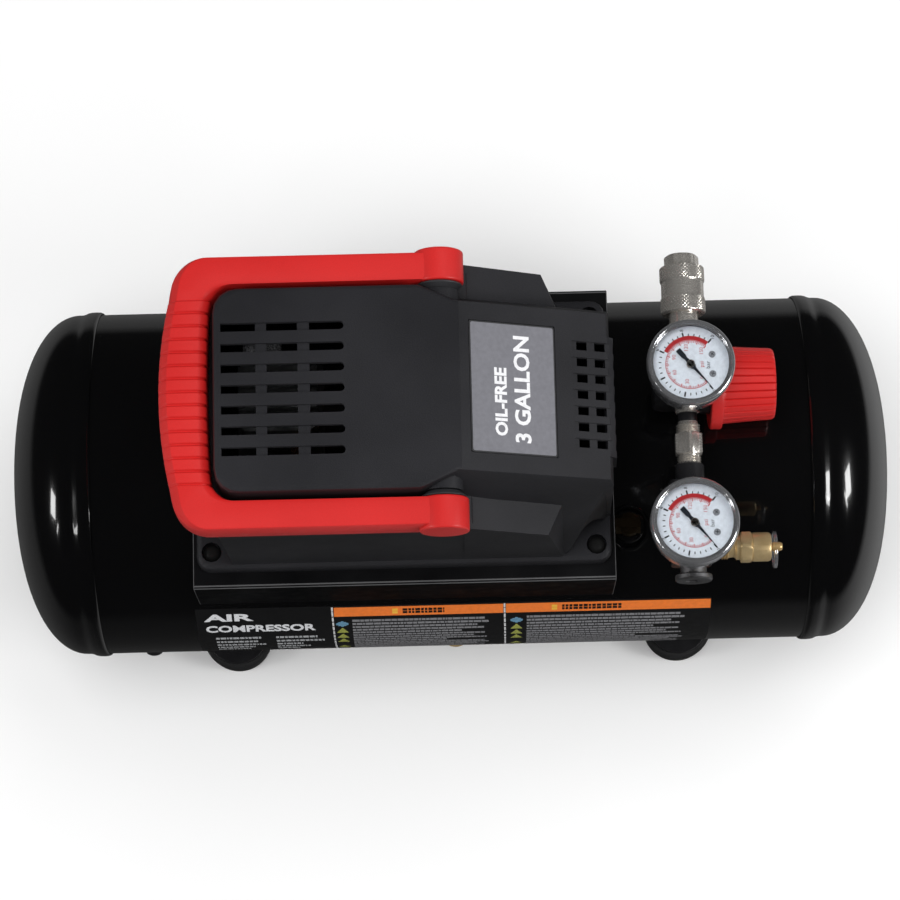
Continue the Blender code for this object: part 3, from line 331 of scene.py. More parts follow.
def rubber():
    g = Graph("black_rubber", (0.009, 0.009, 0.010), 0.75)
    g.colour(g.tint(g.noise(60, 5), (0.005, 0.005, 0.0055), (0.016, 0.016, 0.017)))
    g.rough(g.noise(200, 3), 0.62, 0.88)
    g.bump(g.noise(1100, 3), 0.3, 0.0003)
    return g.mat


def metal(name, colour, rough, wear, brush=(1, 1, 1), cast=0.0, stain=None, metallic=1.0):
    """Bare or plated metal. brush stretches the fine scratches; cast adds a sand-cast skin."""
    g = Graph(name, colour, rough, metallic)
    worn = stain or tuple(c * 0.72 for c in colour)
    g.colour(g.tint(g.span(g.noise(70, 5), 0, 1, 0.45, 0.8), colour, worn))
    lines = g.noise(900, 3, stretch=brush)
    spread = 0.06 + wear
    g.rough(lines, max(0.02, rough - spread), rough + spread)
    g.bump(lines, 0.08 + 0.4 * wear, 0.0001)
    if cast:
        g.bump(g.noise(420, 5), cast, 0.0006)
    return g.mat


def laminated():
    g = Graph("laminated_steel", (0.28, 0.28, 0.29), 0.42, 0.85)
    bands = g.node("ShaderNodeTexWave", Scale=620.0, Distortion=0.4, Detail=1.0)
    bands.bands_direction = "X"
    g.link(g.coords, bands.inputs["Vector"])
    g.colour(g.tint(bands.outputs["Fac"], (0.16, 0.16, 0.17), (0.36, 0.36, 0.37)))
    g.rough(g.noise(300, 3), 0.34, 0.55)
    g.bump(bands.outputs["Fac"], 0.4, 0.0002)
    return g.mat


def wound():
    g = Graph("enamelled_winding", (0.5, 0.2, 0.07), 0.32, 0.5, Coat_Weight=0.6, Coat_Roughness=0.15)
    turns = g.node("ShaderNodeTexWave", Scale=380.0, Distortion=3.0, Detail=2.0)
    g.link(g.coords, turns.inputs["Vector"])
    g.colour(g.tint(turns.outputs["Fac"], (0.22, 0.07, 0.02), (0.62, 0.27, 0.10)))
    g.rough(g.noise(200, 3), 0.25, 0.42)
    g.bump(turns.outputs["Fac"], 0.6, 0.0005)
    return g.mat


def foam():
    g = Graph("filter_foam", (0.05, 0.05, 0.054), 0.95)
    pores = g.cells(700)
    g.colour(g.tint(g.span(pores, 0, 1, 0.0, 0.6), (0.012, 0.012, 0.013), (0.09, 0.09, 0.095)))
    g.rough(g.noise(300, 3), 0.85, 1.0)
    g.bump(pores, 0.9, 0.0012)
    return g.mat


def printed(name, colour, rough=0.42):
    """Ink or paint: a thin flat layer, with a faint grain."""
    g = Graph(name, colour, rough)
    other = tuple(c * 0.86 for c in colour)
    g.colour(g.tint(g.span(g.noise(500, 3), 0, 1, 0.3, 0.7), other, colour))
    g.rough(g.noise(240, 3), rough - 0.06, rough + 0.08)
    g.bump(g.noise(1800, 2), 0.06, 0.0001)
    return g.mat


def clear():
    """A clear window: see-through, with a reflection that grows at a glance."""
    g = Graph("clear_window", (1, 1, 1), metal=1.0)
    g.rough(g.noise(90, 2), 0.02, 0.07, 0.0, 1.0)
    through = g.node("ShaderNodeBsdfTransparent", Color=(0.97, 0.985, 0.99, 1))
    fresnel = g.node("ShaderNodeFresnel", IOR=1.42)
    mix = g.node("ShaderNodeMixShader")
    g.link(fresnel.outputs["Fac"], mix.inputs["Fac"])
    g.link(through.outputs["BSDF"], mix.inputs[1])
    g.link(g.shader.outputs["BSDF"], mix.inputs[2])
    g.link(mix.outputs["Shader"], g.tree.nodes["Material Output"].inputs["Surface"])
    return g.mat


PAINT = gloss_paint()
SATIN = satin_paint("satin_black_paint", (0.008, 0.008, 0.009), 0.34)
PLATE = satin_paint("plate_black_paint", (0.003, 0.003, 0.0034), 0.60, 900, 0.0, 0.03)
# Lighter paint on the mounting plate's bevelled edges: a painted highlight along each rounded edge.
PLATE_EDGE_HIGHLIGHT = satin_paint("plate_edge_painted_highlight", (0.07, 0.07, 0.072), 0.40, 900, 0.0, 0.5)
CHARCOAL = moulded("charcoal_plastic", (0.0150, 0.0150, 0.0176), 0.50, 1500, 0.40, 0.22)
BLACK_PLASTIC = moulded("black_plastic", (0.010, 0.010, 0.011), 0.42, 1700, 0.25, 0.2)
GREY_PLASTIC = moulded("grey_plastic", (0.030, 0.030, 0.033), 0.46, 1700, 0.25, 0.2)
RED = moulded("red_plastic", (0.52, 0.0125, 0.0115), 0.42, 1600, 0.22, 0.07, 0.1)
RUBBER = rubber()
NICKEL = metal("nickel_plate", (0.90, 0.86, 0.80), 0.24, 0.02, (1, 12, 1), metallic=0.84)
CHROME = metal("chrome_plate", (0.74, 0.75, 0.78), 0.14, 0.02, (1, 1, 8), metallic=0.9)
BRASS = metal("brass", (0.84, 0.60, 0.28), 0.32, 0.05, (10, 1, 1), stain=(0.62, 0.40, 0.17),
              metallic=0.7)
PALE_BRASS = metal("pale_brass", (0.82, 0.62, 0.33), 0.38, 0.05, (10, 1, 1), stain=(0.60, 0.42, 0.20),
                   metallic=0.75)
# Brass darkened all over for the check valve: painted shade for the shadow it sits in.
SHADED_BRASS = metal("brass_darkened_painted_shade", (0.20, 0.145, 0.085), 0.50, 0.06, stain=(0.12, 0.09, 0.06))
DULL_STEEL = metal("dull_plated_steel", (0.34, 0.34, 0.35), 0.50, 0.05)
STEEL = metal("bright_steel", (0.50, 0.50, 0.51), 0.36, 0.08, (1, 1, 6))
CAST = metal("cast_aluminium", (0.66, 0.67, 0.68), 0.42, 0.08, cast=0.5)
COPPER = metal("copper_tube", (0.72, 0.34, 0.18), 0.28, 0.08, stain=(0.42, 0.17, 0.08))
LAMINATION = laminated()
WINDING = wound()
FOAM = foam()
WHITE = printed("dial_white", (0.88, 0.90, 0.96), 0.45)
BLACK_INK = printed("black_ink", (0.012, 0.013, 0.016))
RED_INK = printed("red_ink", (0.60, 0.08, 0.09))
RED_BAND = printed("red_band", (0.52, 0.015, 0.02))
PIN = printed("dial_pin", (0.30, 0.30, 0.32), 0.3)
LENS = clear()
LABEL_BLACK = printed("label_black", (0.006, 0.006, 0.0065), 0.4)
LABEL_WHITE = printed("label_white", (0.55, 0.55, 0.56), 0.4)
LABEL_ORANGE = printed("label_orange", (0.76, 0.165, 0.010))
LABEL_YELLOW = printed("label_yellow", (0.75, 0.42, 0.03))
LABEL_PALE = printed("label_pale_grey", (0.34, 0.35, 0.36))
LABEL_BRIGHT = printed("label_bright", (0.62, 0.63, 0.65))
LABEL_MID = printed("label_mid_grey", (0.19, 0.19, 0.20))
LABEL_BLUE = printed("label_light_blue", (0.10, 0.24, 0.36))
LABEL_GREEN = printed("label_yellow_green", (0.28, 0.30, 0.05))
LABEL_SILVER = printed("label_silver", (0.175, 0.175, 0.195), 0.38)
LABEL_EDGE = printed("label_edge_dark", (0.035, 0.035, 0.037), 0.4)
LABEL_LIGHT = printed("label_light_ink", (0.78, 0.78, 0.80), 0.4)
LABEL_GREY = printed("silver_grey_label", (0.27, 0.27, 0.285), 0.38)
NEEDLE = printed("needle_slate", (0.018, 0.022, 0.030), 0.4)
HUB = metal("needle_hub", (0.42, 0.38, 0.33), 0.3, 0.05)
SCREW_BLACK = satin_paint("blackened_screw", (0.006, 0.006, 0.006), 0.40, 1200, 0.1, 0.4)


# ---- CAD pieces that stay


def smooth_group():
    """Geometry nodes that shade smooth, leaving edges sharper than SMOOTH_BELOW crisp."""
    made = bpy.data.node_groups.new("smooth_by_angle", "GeometryNodeTree")
    for way in ("INPUT", "OUTPUT"):
        made.interface.new_socket("Geometry", in_out=way, socket_type="NodeSocketGeometry")
    start, end, faces, edges, angle, small = [made.nodes.new(kind) for kind in (
        "NodeGroupInput", "NodeGroupOutput", "GeometryNodeSetShadeSmooth",
        "GeometryNodeSetShadeSmooth", "GeometryNodeInputMeshEdgeAngle", "FunctionNodeCompare")]
    faces.domain = "FACE"
    edges.domain = "EDGE"
    small.data_type = "FLOAT"
    small.operation = "LESS_THAN"
    small.inputs[1].default_value = math.radians(SMOOTH_BELOW)
    made.links.new(start.outputs[0], faces.inputs["Geometry"])
    made.links.new(faces.outputs[0], edges.inputs["Geometry"])
    made.links.new(angle.outputs["Unsigned Angle"], small.inputs[0])
    made.links.new(small.outputs[0], edges.inputs["Shade Smooth"])
    made.links.new(edges.outputs[0], end.inputs[0])
    return made


SMOOTH = smooth_group()


def dress(node, mat, bevel=0.0):
    """Gives a CAD node its finish, and rounds its edges by bevel millimetres."""
    made = NODES[node]
    made.data.materials.clear()
    made.data.materials.append(mat)
    for face in made.data.polygons:
        face.material_index = 0
    weld = made.modifiers.new("weld", "WELD")
    weld.merge_threshold = 0.000002
    if bevel:
        edge = made.modifiers.new("edge", "BEVEL")
        edge.width = bevel * MM
        edge.segments = 2
        edge.limit_method = "ANGLE"
        edge.angle_limit = math.radians(BEVEL_ABOVE)
        edge.use_clamp_overlap = True
    shade = made.modifiers.new("shade", "NODES")
    shade.node_group = SMOOTH
    if bevel:
        weight = made.modifiers.new("weight", "WEIGHTED_NORMAL")
        weight.keep_sharp = True
        weight.weight = 60


def dress_cad():
    for mat, bevel, names in (
            (CHARCOAL, 0.55, "shroud"),
            (SATIN, 0.5, "leg_left leg_right regulator_body manifold"),
            (PLATE, 0.5, "mounting_plate"),
            (GREY_PLASTIC, 0.4, "handle_pivot_front handle_pivot_rear"),
            (RUBBER, 0.4, "foot_front_left foot_front_right foot_rear_left foot_rear_right cord_gland"),
            (BLACK_PLASTIC, 0.3, "pressure_switch cooling_fan tank_port_plug"),
            (RED, 0.4, "power_switch handle regulator_knob"),
            (FOAM, 0.5, "intake_filter"),
            (NICKEL, 0.2, "hex_nipple coupler_body coupler_sleeve"),
            (CHROME, 0.2, "front_plug gauge_upper_case gauge_lower_case"),
            (BRASS, 0.2, "drain_valve_body drain_valve_knob safety_valve_body safety_valve_stem"),
            (BRASS, 0.2, "coupler_poppet"),
            # The check valve's brass is darkened as painted shade.
            (SHADED_BRASS, 0.2, "check_valve"),
            (CAST, 0.4, "crankcase cylinder cylinder_head piston_rod motor_end_bracket"),
            (STEEL, 0.15, "valve_plate crank_web motor_shaft bearing_front bearing_rear"),
            (STEEL, 0.1, "shroud_screw_front_left shroud_screw_front_right"),
            (STEEL, 0.1, "shroud_screw_rear_left shroud_screw_rear_right"),
            (LAMINATION, 0.0, "rotor stator"),
            (COPPER, 0.0, "discharge_tube"),
            (WINDING, 0.0, "windings"),
            (LABEL_GREY, 0.1, "shroud_label"),
            (WHITE, 0.0, "gauge_upper_dial gauge_lower_dial"),
            (LENS, 0.0, "gauge_upper_lens gauge_lower_lens"),
            (BLACK_INK, 0.0, "gauge_upper_pointer gauge_lower_pointer"),
            (PAINT, 0.0, "tank_shell tank_head_left tank_head_right")):
        for name in names.split():
            dress(name, mat, bevel)
    # The plate's bevels take the lighter edge paint, a painted highlight.
    sheet = NODES["mounting_plate"]
    sheet.data.materials.append(PLATE_EDGE_HIGHLIGHT)
    sheet.modifiers["edge"].material = 1


dress_cad()


# ---- tank


SHELL_END = 190
SHELL_WALL = 1.8
HEAD_TIP = 234.8
HEAD_DEPTH = 36.0
HEAD_CROWN = 2.4
HEAD_WALL = 2.2
# The rolled lip, as how far it stands out from the tank's radius and its X.
HEAD_LIP = ((0, 197.0), (0.35, 195.4), (1.1, 193.8), (1.4, 192.2), (1.5, 190.0), (1.4, 187.8),
            (1.0, 186.8), (0.5, 186.5), (0.3, 186.9), (0.3, 191.6), (-1.8, 194.0))
# The radius, X, Y and top of each threaded boss welded into the shell beside the cover.
BOSSES = ((11.0, AIR_LINE[0], -45.0, 90.0), (8.6, 91.3, -47.0, 83.8))
BOSS_WALL = 4.2
WELD_R = 1.5


def tank_point(phi, radius, x):
    """A point at an angle from straight up towards the front, measured about the tank's axis."""
    return Vector((x, -radius * math.sin(phi), radius * math.cos(phi)))


def wrap(bm, x, phi, lift, slot=0, slant=0.0):
    """A thin plate bent round the tank, between two X and two angles in degrees."""
    low, high = TANK_R - 0.25, TANK_R + lift
    steps = max(1, round(abs(phi[1] - phi[0]) / 3))
    rings = []
    for k in range(steps + 1):
        share = k / steps
        a = math.radians(phi[0] + (phi[1] - phi[0]) * share)
        x0, x1 = x[0] + slant * share, x[1] + slant * share
        corners = ((low, x0), (low, x1), (high, x1), (high, x0))
        rings.append([tank_point(a, radius, at) for radius, at in corners])
    skin(bm, rings, slot=slot)


def dome(tip, depth, skirt, steps):
    """A head's (radius, height) pairs from its tip to its skirt."""
    out = []
    for i in range(steps + 1):
        share = math.sin(0.5 * math.pi * i / steps)
        fall = 1 - math.sqrt(max(0.0, 1 - share ** HEAD_CROWN))
        out.append((skirt * share, tip - depth * fall))
    return out


def head_outline(steps):
    """The dome from its tip to its skirt, the rolled lip over the shell's end, and the inside."""
    outer = dome(HEAD_TIP, HEAD_DEPTH, TANK_R, steps)
    lip = [(TANK_R + rise, x) for rise, x in HEAD_LIP]
    inner = dome(HEAD_TIP - HEAD_WALL, HEAD_DEPTH - HEAD_WALL / 2, TANK_R - HEAD_WALL, 12)
    return outer + lip + inner[::-1]


def boss(bm, radius, x, y, top):
    """A threaded boss with the wavy bead of weld that runs round it on the shell."""
    bore = radius - BOSS_WALL
    collar = soften([(bore, 74), (radius, 74), (radius, top), (bore, top)], 1.0)
    lathe(bm, collar, (x, y, 0), Z_AXIS, 40, loop=True)
    bead = []
    for i in range(56):
        a = 2 * math.pi * i / 56
        reach = radius + 1.4 + 0.2 * math.sin(9 * a)
        on_y = y + reach * math.sin(a)
        on_shell = math.sqrt(TANK_R ** 2 - on_y ** 2) + 0.1
        centre = Vector((x + reach * math.cos(a), on_y, on_shell))
        out = Vector((math.cos(a), math.sin(a), 0))
        bead.append(circle(centre, out, Z_AXIS, WELD_R, 8))
    skin(bm, bead, loop=True)


def make_tank():
    bm = bmesh.new()
    inside = TANK_R - SHELL_WALL
    wall = [(TANK_R, -SHELL_END), (TANK_R, SHELL_END), (inside, SHELL_END), (inside, -SHELL_END)]
    lathe(bm, wall, (0, 0, 0), X_AXIS, 180, loop=True)
    for spot in BOSSES:
        boss(bm, *spot)
    top = TANK_R + 4.5
    lathe(bm, soften([(5.0, 86), (9.0, 86), (9.0, top), (5.0, top)], 0.8), (DRAIN_X, 0, 0),
          tank_point(DRAIN_ANGLE, 1, 0), 40, loop=True)
    put("tank_shell_enamelled", bm, PAINT, stands_for="tank_shell", slot="tank_paint", crease=50)
    for side, name in ((-1, "left"), (1, "right")):
        bm = bmesh.new()
        lathe(bm, head_outline(26), (0, 0, 0), X_AXIS * side, 180)
        put("tank_head_enamelled_" + name, bm, PAINT, stands_for="tank_head_" + name,
            slot="tank_paint", crease=60)


# The label's material slots, in the order that make_tank_label() gives its materials.
GROUND, RULE, BAND, SIGN, PALE_TEXT, GREY_TEXT, BLUE_SIGN, GREEN_SIGN, TITLE = range(9)
LABEL_TOP = 59.0
LABEL_END = 106.0


def label_marks(bm, x, phi, height, slot, widths, gap, lift=0.09):
    """A line of small printed marks that stands for text; widths are in millimetres."""
    for width in widths:
        wrap(bm, (x, x + width), (phi, phi + height), lift, slot)
        x += width + gap


def label_sign(bm, x, phi, is_round):
    """A small round or triangular sign, in strips across it."""
    strips = 7
    for k in range(strips):
        half = 3.0 * (k + 1) / strips
        if is_round:
            half = 3.4 * math.sin(math.pi * (k + 0.5) / strips)
        span = (phi + 3.4 * k / strips, phi + 3.4 * (k + 1) / strips)
        wrap(bm, (x - half, x + half), span, 0.08, BLUE_SIGN if is_round else GREEN_SIGN)


def words(total, seed, low, high, gap):
    """Random widths between low and high, with gaps, that fill a line of the total length."""
    random.seed(seed)
    out, used = [], 0.0
    while used < total:
        width = min(random.uniform(low, high), total - used)
        if width > 0.3:
            out.append(width)
        used += width + gap
    return out


def bent_text(bm, text, x, phi, size, stretch):
    """Raised lettering bent round the tank; it starts at x with its middle at the angle phi."""
    flat = bmesh.new()
    glyphs(flat, text, (0, 0), size, 0, 0.0, TITLE, 0.10, 0.30)
    low = min(v.co.x for v in flat.verts)
    for vert in flat.verts:
        a = math.radians(phi) - vert.co.y / TANK_R
        lift = TANK_R + 0.02 + vert.co.z
        vert.co = tank_point(a, lift, x + (vert.co.x - low) * stretch)
    merge(bm, flat)


def make_tank_label():
    """The wide printed label on the front of the tank; its wording is left generic."""
    top = LABEL_TOP
    bm = bmesh.new()
    wrap(bm, (-136, 135.5), (top, LABEL_END), 0.04, GROUND)
    for x in (-64.6, 26.2):
        wrap(bm, (x, x + 0.9), (top + 0.6, LABEL_END), 0.06, RULE, slant=0.8)
    for x in ((-63.2, 26.0), (27.4, 135.2)):
        wrap(bm, x, (top + 0.8, top + 5.6), 0.06, BAND)
    for x, width in ((-27.0, 22.0), (57.0, 32.0)):
        heading = words(width, int(width), 1.2, 2.6, 0.5)
        label_marks(bm, x, top + 1.9, 2.6, GROUND, heading, 0.5, 0.08)
        wrap(bm, (x - 5.5, x - 2.6), (top + 1.9, top + 4.5), 0.08, SIGN)
    bent_text(bm, "AIR", -132.0, top + 5.0, 8.4, 1.9)
    bent_text(bm, "COMPRESSOR", -131.5, top + 11.8, 9.2, 1.0)
    for x, seed, lengths in ((-127.0, 40, (24, 22, 26, 20, 18)), (-95.0, 60, (22, 26, 14, 18, 12))):
        for row, length in enumerate(lengths):
            line = words(length, seed + row, 0.8, 3.2, 0.5)
            label_marks(bm, x, top + 18.0 + row * 3.4, 1.5, PALE_TEXT, line, 0.5)
    for x, seed, longer in ((-53.8, 70, 1.0), (38.4, 87, 1.16)):
        for row in range(18):
            length = (70, 72, 66, 70, 58, 70, 64, 71, 50)[row % 9] * longer
            line = words(length, seed + row, 0.9, 4.2, 0.35)
            label_marks(bm, x, top + 7.6 + row * 2.05, 1.2, GREY_TEXT, line, 0.35)
        for row in (0, 1, 2, 3, 5, 7):
            label_sign(bm, x - 5.4, top + 8.4 + row * 4.4, row == 0)
    put("tank_label_print", bm, [LABEL_BLACK, LABEL_WHITE, LABEL_ORANGE, LABEL_YELLOW, LABEL_PALE,
                                 LABEL_MID, LABEL_BLUE, LABEL_GREEN, LABEL_BRIGHT], crease=20)


# ---- handle


PIVOT_X = -3.5
PIVOT_Z = 194
HANDLE_LOW = 184.5
HANDLE_TOP = 204.0
# The outer corner is an arc about OUTER_X, OUTER_Y, and the inner one a slightly flat one.
OUTER_X, OUTER_Y, OUTER_R = -117, 50.2, 18.0
INNER_X, INNER_Y, INNER_RX, INNER_RY = -103.7, 40.6, 12.5, 13.0
# How wide the bevels of the outer and the inner edge are on the arms and on the grip.
ARM_BEVELS = (1.1, 1.2)
GRIP_BEVELS = (4.6, 3.7)
# The grip's slices run between these Y, and the corner's slices take over there.
GRIP_HALF = 46.5
GROOVES = [0.5 + 6.58 * (k - 7) for k in range(15)]
# A groove's shape, as how deep it is at steps across it.
GROOVE_SHAPE = ((-0.95, 0.0), (-0.6, 0.35), (-0.25, 0.9), (0.0, 1.0), (0.25, 0.9), (0.6, 0.35),
                (0.95, 0.0))


def handle_section(outer, inner, facet, bevel, groove):
    """One slice of the handle, from its outer edge to its inner edge."""
    low, top = HANDLE_LOW, HANDLE_TOP - 0.95 * groove
    width = (inner - outer).length
    across = (inner - outer) / width
    drop, slip = facet * 1.05, bevel * 0.62
    notch = 0.9 * groove
    shape = [(1.4, low), (0.4, low + 0.4), (0.0, low + 1.6), (0.0, top - drop - 1.2),
             (0.3, top - drop - 0.35), (facet * 0.5, top - drop * 0.52), (facet - 0.35, top - 0.28),
             (facet + 0.7, top), (width * 0.5, top + 0.12), (width - bevel - 1.0, top),
             (width - bevel - 0.1, top - 0.3), (width - bevel * 0.5 - notch * 0.5, top - slip * 0.6),
             (width - 0.6 - notch, top - slip - 0.3), (width - notch, top - slip - 1.8),
             (width - notch * 0.4, low + 1.6), (width - 0.4, low + 0.4), (width - 1.4, low)]
    return [Vector((*(outer + across * w), z)) for w, z in shape]


def inner_angle(y):
    """How far round the inner corner a distance from the middle is."""
    return math.acos(max(-1.0, 1 - (INNER_Y + INNER_RY - y) / INNER_RY))


def handle_edge(y):
    """X of the grip's outer and inner edge at a distance from the middle."""
    y = abs(y)
    x_out = -141 + 6.1 * (y / 51) ** 2
    if y > OUTER_Y:
        reach = math.sqrt(max(0.0, OUTER_R ** 2 - (y - OUTER_Y) ** 2))
        x_out = max(x_out, OUTER_X - reach)
    x_in = -117.4 + 2.6 * (y / 60) ** 2
    if y > INNER_Y:
        x_in = INNER_X - INNER_RX * math.sin(inner_angle(y))
    return x_out, x_in


def make_arm():
    """The handle's slices from the front pivot to where its grip starts."""
    arm = []
    for k in range(7):
        outer = Vector((PIVOT_X + (OUTER_X - PIVOT_X) * k / 6, -OUTER_Y - OUTER_R))
        inner = Vector((PIVOT_X + (INNER_X - PIVOT_X) * k / 6, -INNER_Y - INNER_RY))
        arm.append((outer, inner, *ARM_BEVELS, 0.0))
    steps, ease_from = 14, 0.8
    out_end, in_end = math.radians(83), inner_angle(GRIP_HALF)
    meets = Vector((handle_edge(GRIP_HALF)[0], -GRIP_HALF))
    for k in range(1, steps):
        s = k / steps
        a, b = out_end * s, in_end * s
        outer = Vector((OUTER_X - OUTER_R * math.sin(a), -OUTER_Y - OUTER_R * math.cos(a)))
        if s > ease_from:
            slide = (s - ease_from) / (1 - ease_from)
            outer = outer.lerp(meets, slide ** 2 * 0.75)
        inner = Vector((INNER_X - INNER_RX * math.sin(b), -INNER_Y - INNER_RY * math.cos(b)))
        ease = s * s * (3 - 2 * s)
        bevels = [low + (high - low) * ease for low, high in zip(ARM_BEVELS, GRIP_BEVELS)]
        arm.append((outer, inner, *bevels, 0.0))
    return arm


def make_grip():
    """The grip's slices; they are closer together across each groove."""
    even = [GRIP_HALF * (k / 30 - 1) for k in range(61)]
    depths = {y: 0.0 for y in even if min(abs(y - mark) for mark in GROOVES) > 1.0}
    for mark in GROOVES:
        depths.update((mark + dy, g) for dy, g in GROOVE_SHAPE if abs(mark + dy) <= GRIP_HALF)
    grip = []
    for y in sorted(depths):
        x_out, x_in = handle_edge(y)
        grip.append((Vector((x_out, y)), Vector((x_in, y)), *GRIP_BEVELS, depths[y]))
    return grip


def make_handle():
    arm = make_arm()
    far = [(Vector((o.x, -o.y)), Vector((i.x, -i.y)), *rest) for o, i, *rest in reversed(arm)]
    bm = bmesh.new()
    skin(bm, [handle_section(*s) for s in arm + make_grip() + far])
    near = INNER_Y + INNER_RY
    for side in (-1, 1):
        end = soften([(0, near), (12.2, near), (12.2, 70.0), (0, 70.0)], 1.3, 5)
        lathe(bm, end, (PIVOT_X, 0, PIVOT_Z), Y_AXIS * side, 72)
    put("handle_moulded", bm, RED, body="carry_handle", stands_for="handle",
        slot="red_plastic", crease=32)


# ---- gauges


DIAL_Z = 153.5
SCALE_START = -50
SCALE_SPAN = 260


def scale_angle(share):
    """The angle in degrees at a share of the dial's scale, which runs clockwise."""
    return SCALE_START - SCALE_SPAN * share


def dial_arc(bm, centre, radius, width, start, end, slot, thick=0.06):
    """A printed arc between two angles in degrees."""
    steps = max(2, round(abs(end - start) / 4))
    rings = []
    for k in range(steps + 1):
        a = math.radians(start + (end - start) * k / steps)
        d = Vector((math.cos(a), math.sin(a)))
        inner, outer = centre + d * (radius - width / 2), centre + d * (radius + width / 2)
        low, high = DIAL_Z, DIAL_Z + thick
        corners = ((inner, low), (outer, low), (outer, high), (inner, high))
        rings.append([Vector((*spot, h)) for spot, h in corners])
    skin(bm, rings, slot=slot)


def dial_tick(bm, centre, angle, inner, outer, width, z, slot, thick=0.06):
    a = math.radians(angle)
    d = Vector((math.cos(a), math.sin(a)))
    side = Vector((-d.y, d.x)) * width / 2
    corners = [centre + d * inner - side, centre + d * outer - side, centre + d * outer + side,
               centre + d * inner + side]
    skin(bm, [[Vector((*c, h)) for c in corners] for h in (z, z + thick)], slot=slot)


def glyphs(bm, text, centre, size, angle, z, slot, thick=0.05, weight=0.0):
    """Adds extruded text to the mesh, laid flat with its baseline along the angle."""
    curve = bpy.data.curves.new("text", "FONT")
    curve.body = text
    curve.size = size
    curve.align_x = "CENTER"
    curve.align_y = "CENTER"
    curve.resolution_u = 3
    curve.offset = weight
    curve.extrude = thick / 2
    holder = bpy.data.objects.new("text", curve)
    mesh = bpy.data.meshes.new_from_object(holder)
    turn = Matrix.Rotation(math.radians(angle), 4, "Z")
    before = len(bm.faces)
    mesh.transform(Matrix.Translation(Vector((centre[0], centre[1], z + thick / 2))) @ turn)
    bm.from_mesh(mesh)
    bm.faces.ensure_lookup_table()
    for face in bm.faces[before:]:
        face.material_index = slot
    bpy.data.objects.remove(holder)
    bpy.data.curves.remove(curve)
    bpy.data.meshes.remove(mesh)


def make_bezel(name, origin):
    """The plated cup with its rolled rim, over a hexagon that takes a spanner."""
    bm = bmesh.new()
    cup = [(0, 140.2), (19.2, 140.2), (20.9, 141.8), (20.9, 152.9), (21.3, 153.4), (22.3, 153.7),
           (22.3, 156.3), (22.1, 158.8), (21.5, 160.1), (20.5, 160.6), (19.9, 160.3), (19.4, 159.5),
           (18.9, 159.4), (18.8, 159.0), (20.2, 158.9), (20.2, 152.6), (19.0, 152.4), (19.0, 142.2),
           (0, 142.2)]
    lathe(bm, soften(cup, 0.5), origin, Z_AXIS, 128)
    neck = [(0, 131.6), (7.0, 131.6), (7.0, 133.2), (7.0, 141.0), (0, 141.0)]
    lathe(bm, soften(neck, 0.4), origin, Z_AXIS, 6, turn=math.radians(15))
    put(name + "_bezel", bm, CHROME, stands_for=name + "_case", slot="chrome", crease=40)


def make_dial(name, origin, centre):
    """The white dial with its two printed scales and its two stop pins."""
    paper, black, red, band, pin = range(5)
    bm = bmesh.new()
    z = DIAL_Z
    lathe(bm, soften([(1.9, 152.7), (19.9, 152.7), (19.9, z), (1.9, z)], 0.1), origin, Z_AXIS, 96,
          loop=True, slot=paper)
    for k in range(26):
        inner, outer, width = (14.3, 16.8, 0.80) if k % 5 == 0 else (14.6, 15.9, 0.50)
        dial_tick(bm, centre, scale_angle(k / 25), inner, outer, width, z, black)
    for k in range(61):
        inner, width = (10.8, 0.58) if k % 5 == 0 else (11.3, 0.36)
        dial_tick(bm, centre, scale_angle(k / 60), inner, 12.4, width, z, red)
    dial_arc(bm, centre, 12.45, 0.3, scale_angle(0), scale_angle(1), red)
    dial_arc(bm, centre, 13.75, 2.1, 151, 51, band, 0.07)
    for marks, reach, size, ink in ((("0", "2", "4", "6", "8", "10"), 18.0, 2.5, black),
                                    (("0", "30", "60", "90", "120", "150"), 8.9, 2.7, red)):
        for k, mark in enumerate(marks):
            a = math.radians(scale_angle(k / 5))
            spot = centre + Vector((math.cos(a), math.sin(a))) * reach
            glyphs(bm, mark, spot, size, 90, z, ink)
    glyphs(bm, "psi", centre + Vector((5.7, 0.0)), 2.9, 90, z, red)
    glyphs(bm, "bar", centre + Vector((8.9, -0.4)), 2.9, 90, z, black)
    head = soften([(0, z), (1.75, z), (1.75, z + 0.5), (1.3, z + 0.9), (0, z + 1.0)], 0.25)
    for side in (-1, 1):
        spot = centre + Vector((11.0, 5.0 * side))
        lathe(bm, head, (*spot, 0), Z_AXIS, 28, slot=pin)
        for turn in (20, 110):
            dial_tick(bm, spot, turn + 30 * side, -1.1, 1.1, 0.3, z + 0.78, black, 0.3)
    put(name + "_face", bm, [WHITE, BLACK_INK, RED_INK, RED_BAND, PIN], stands_for=name + "_dial",
        slot="dial", crease=30)


def make_window(name, origin):
    lens = [(0, 158.1), (19.6, 158.1), (19.6, 158.9), (17.5, 159.15), (12, 159.4), (6, 159.5),
            (0, 159.55)]
    turned(name + "_window", LENS, lens, origin, Z_AXIS, 96, stands_for=name + "_lens",
           slot="lens", crease=50)


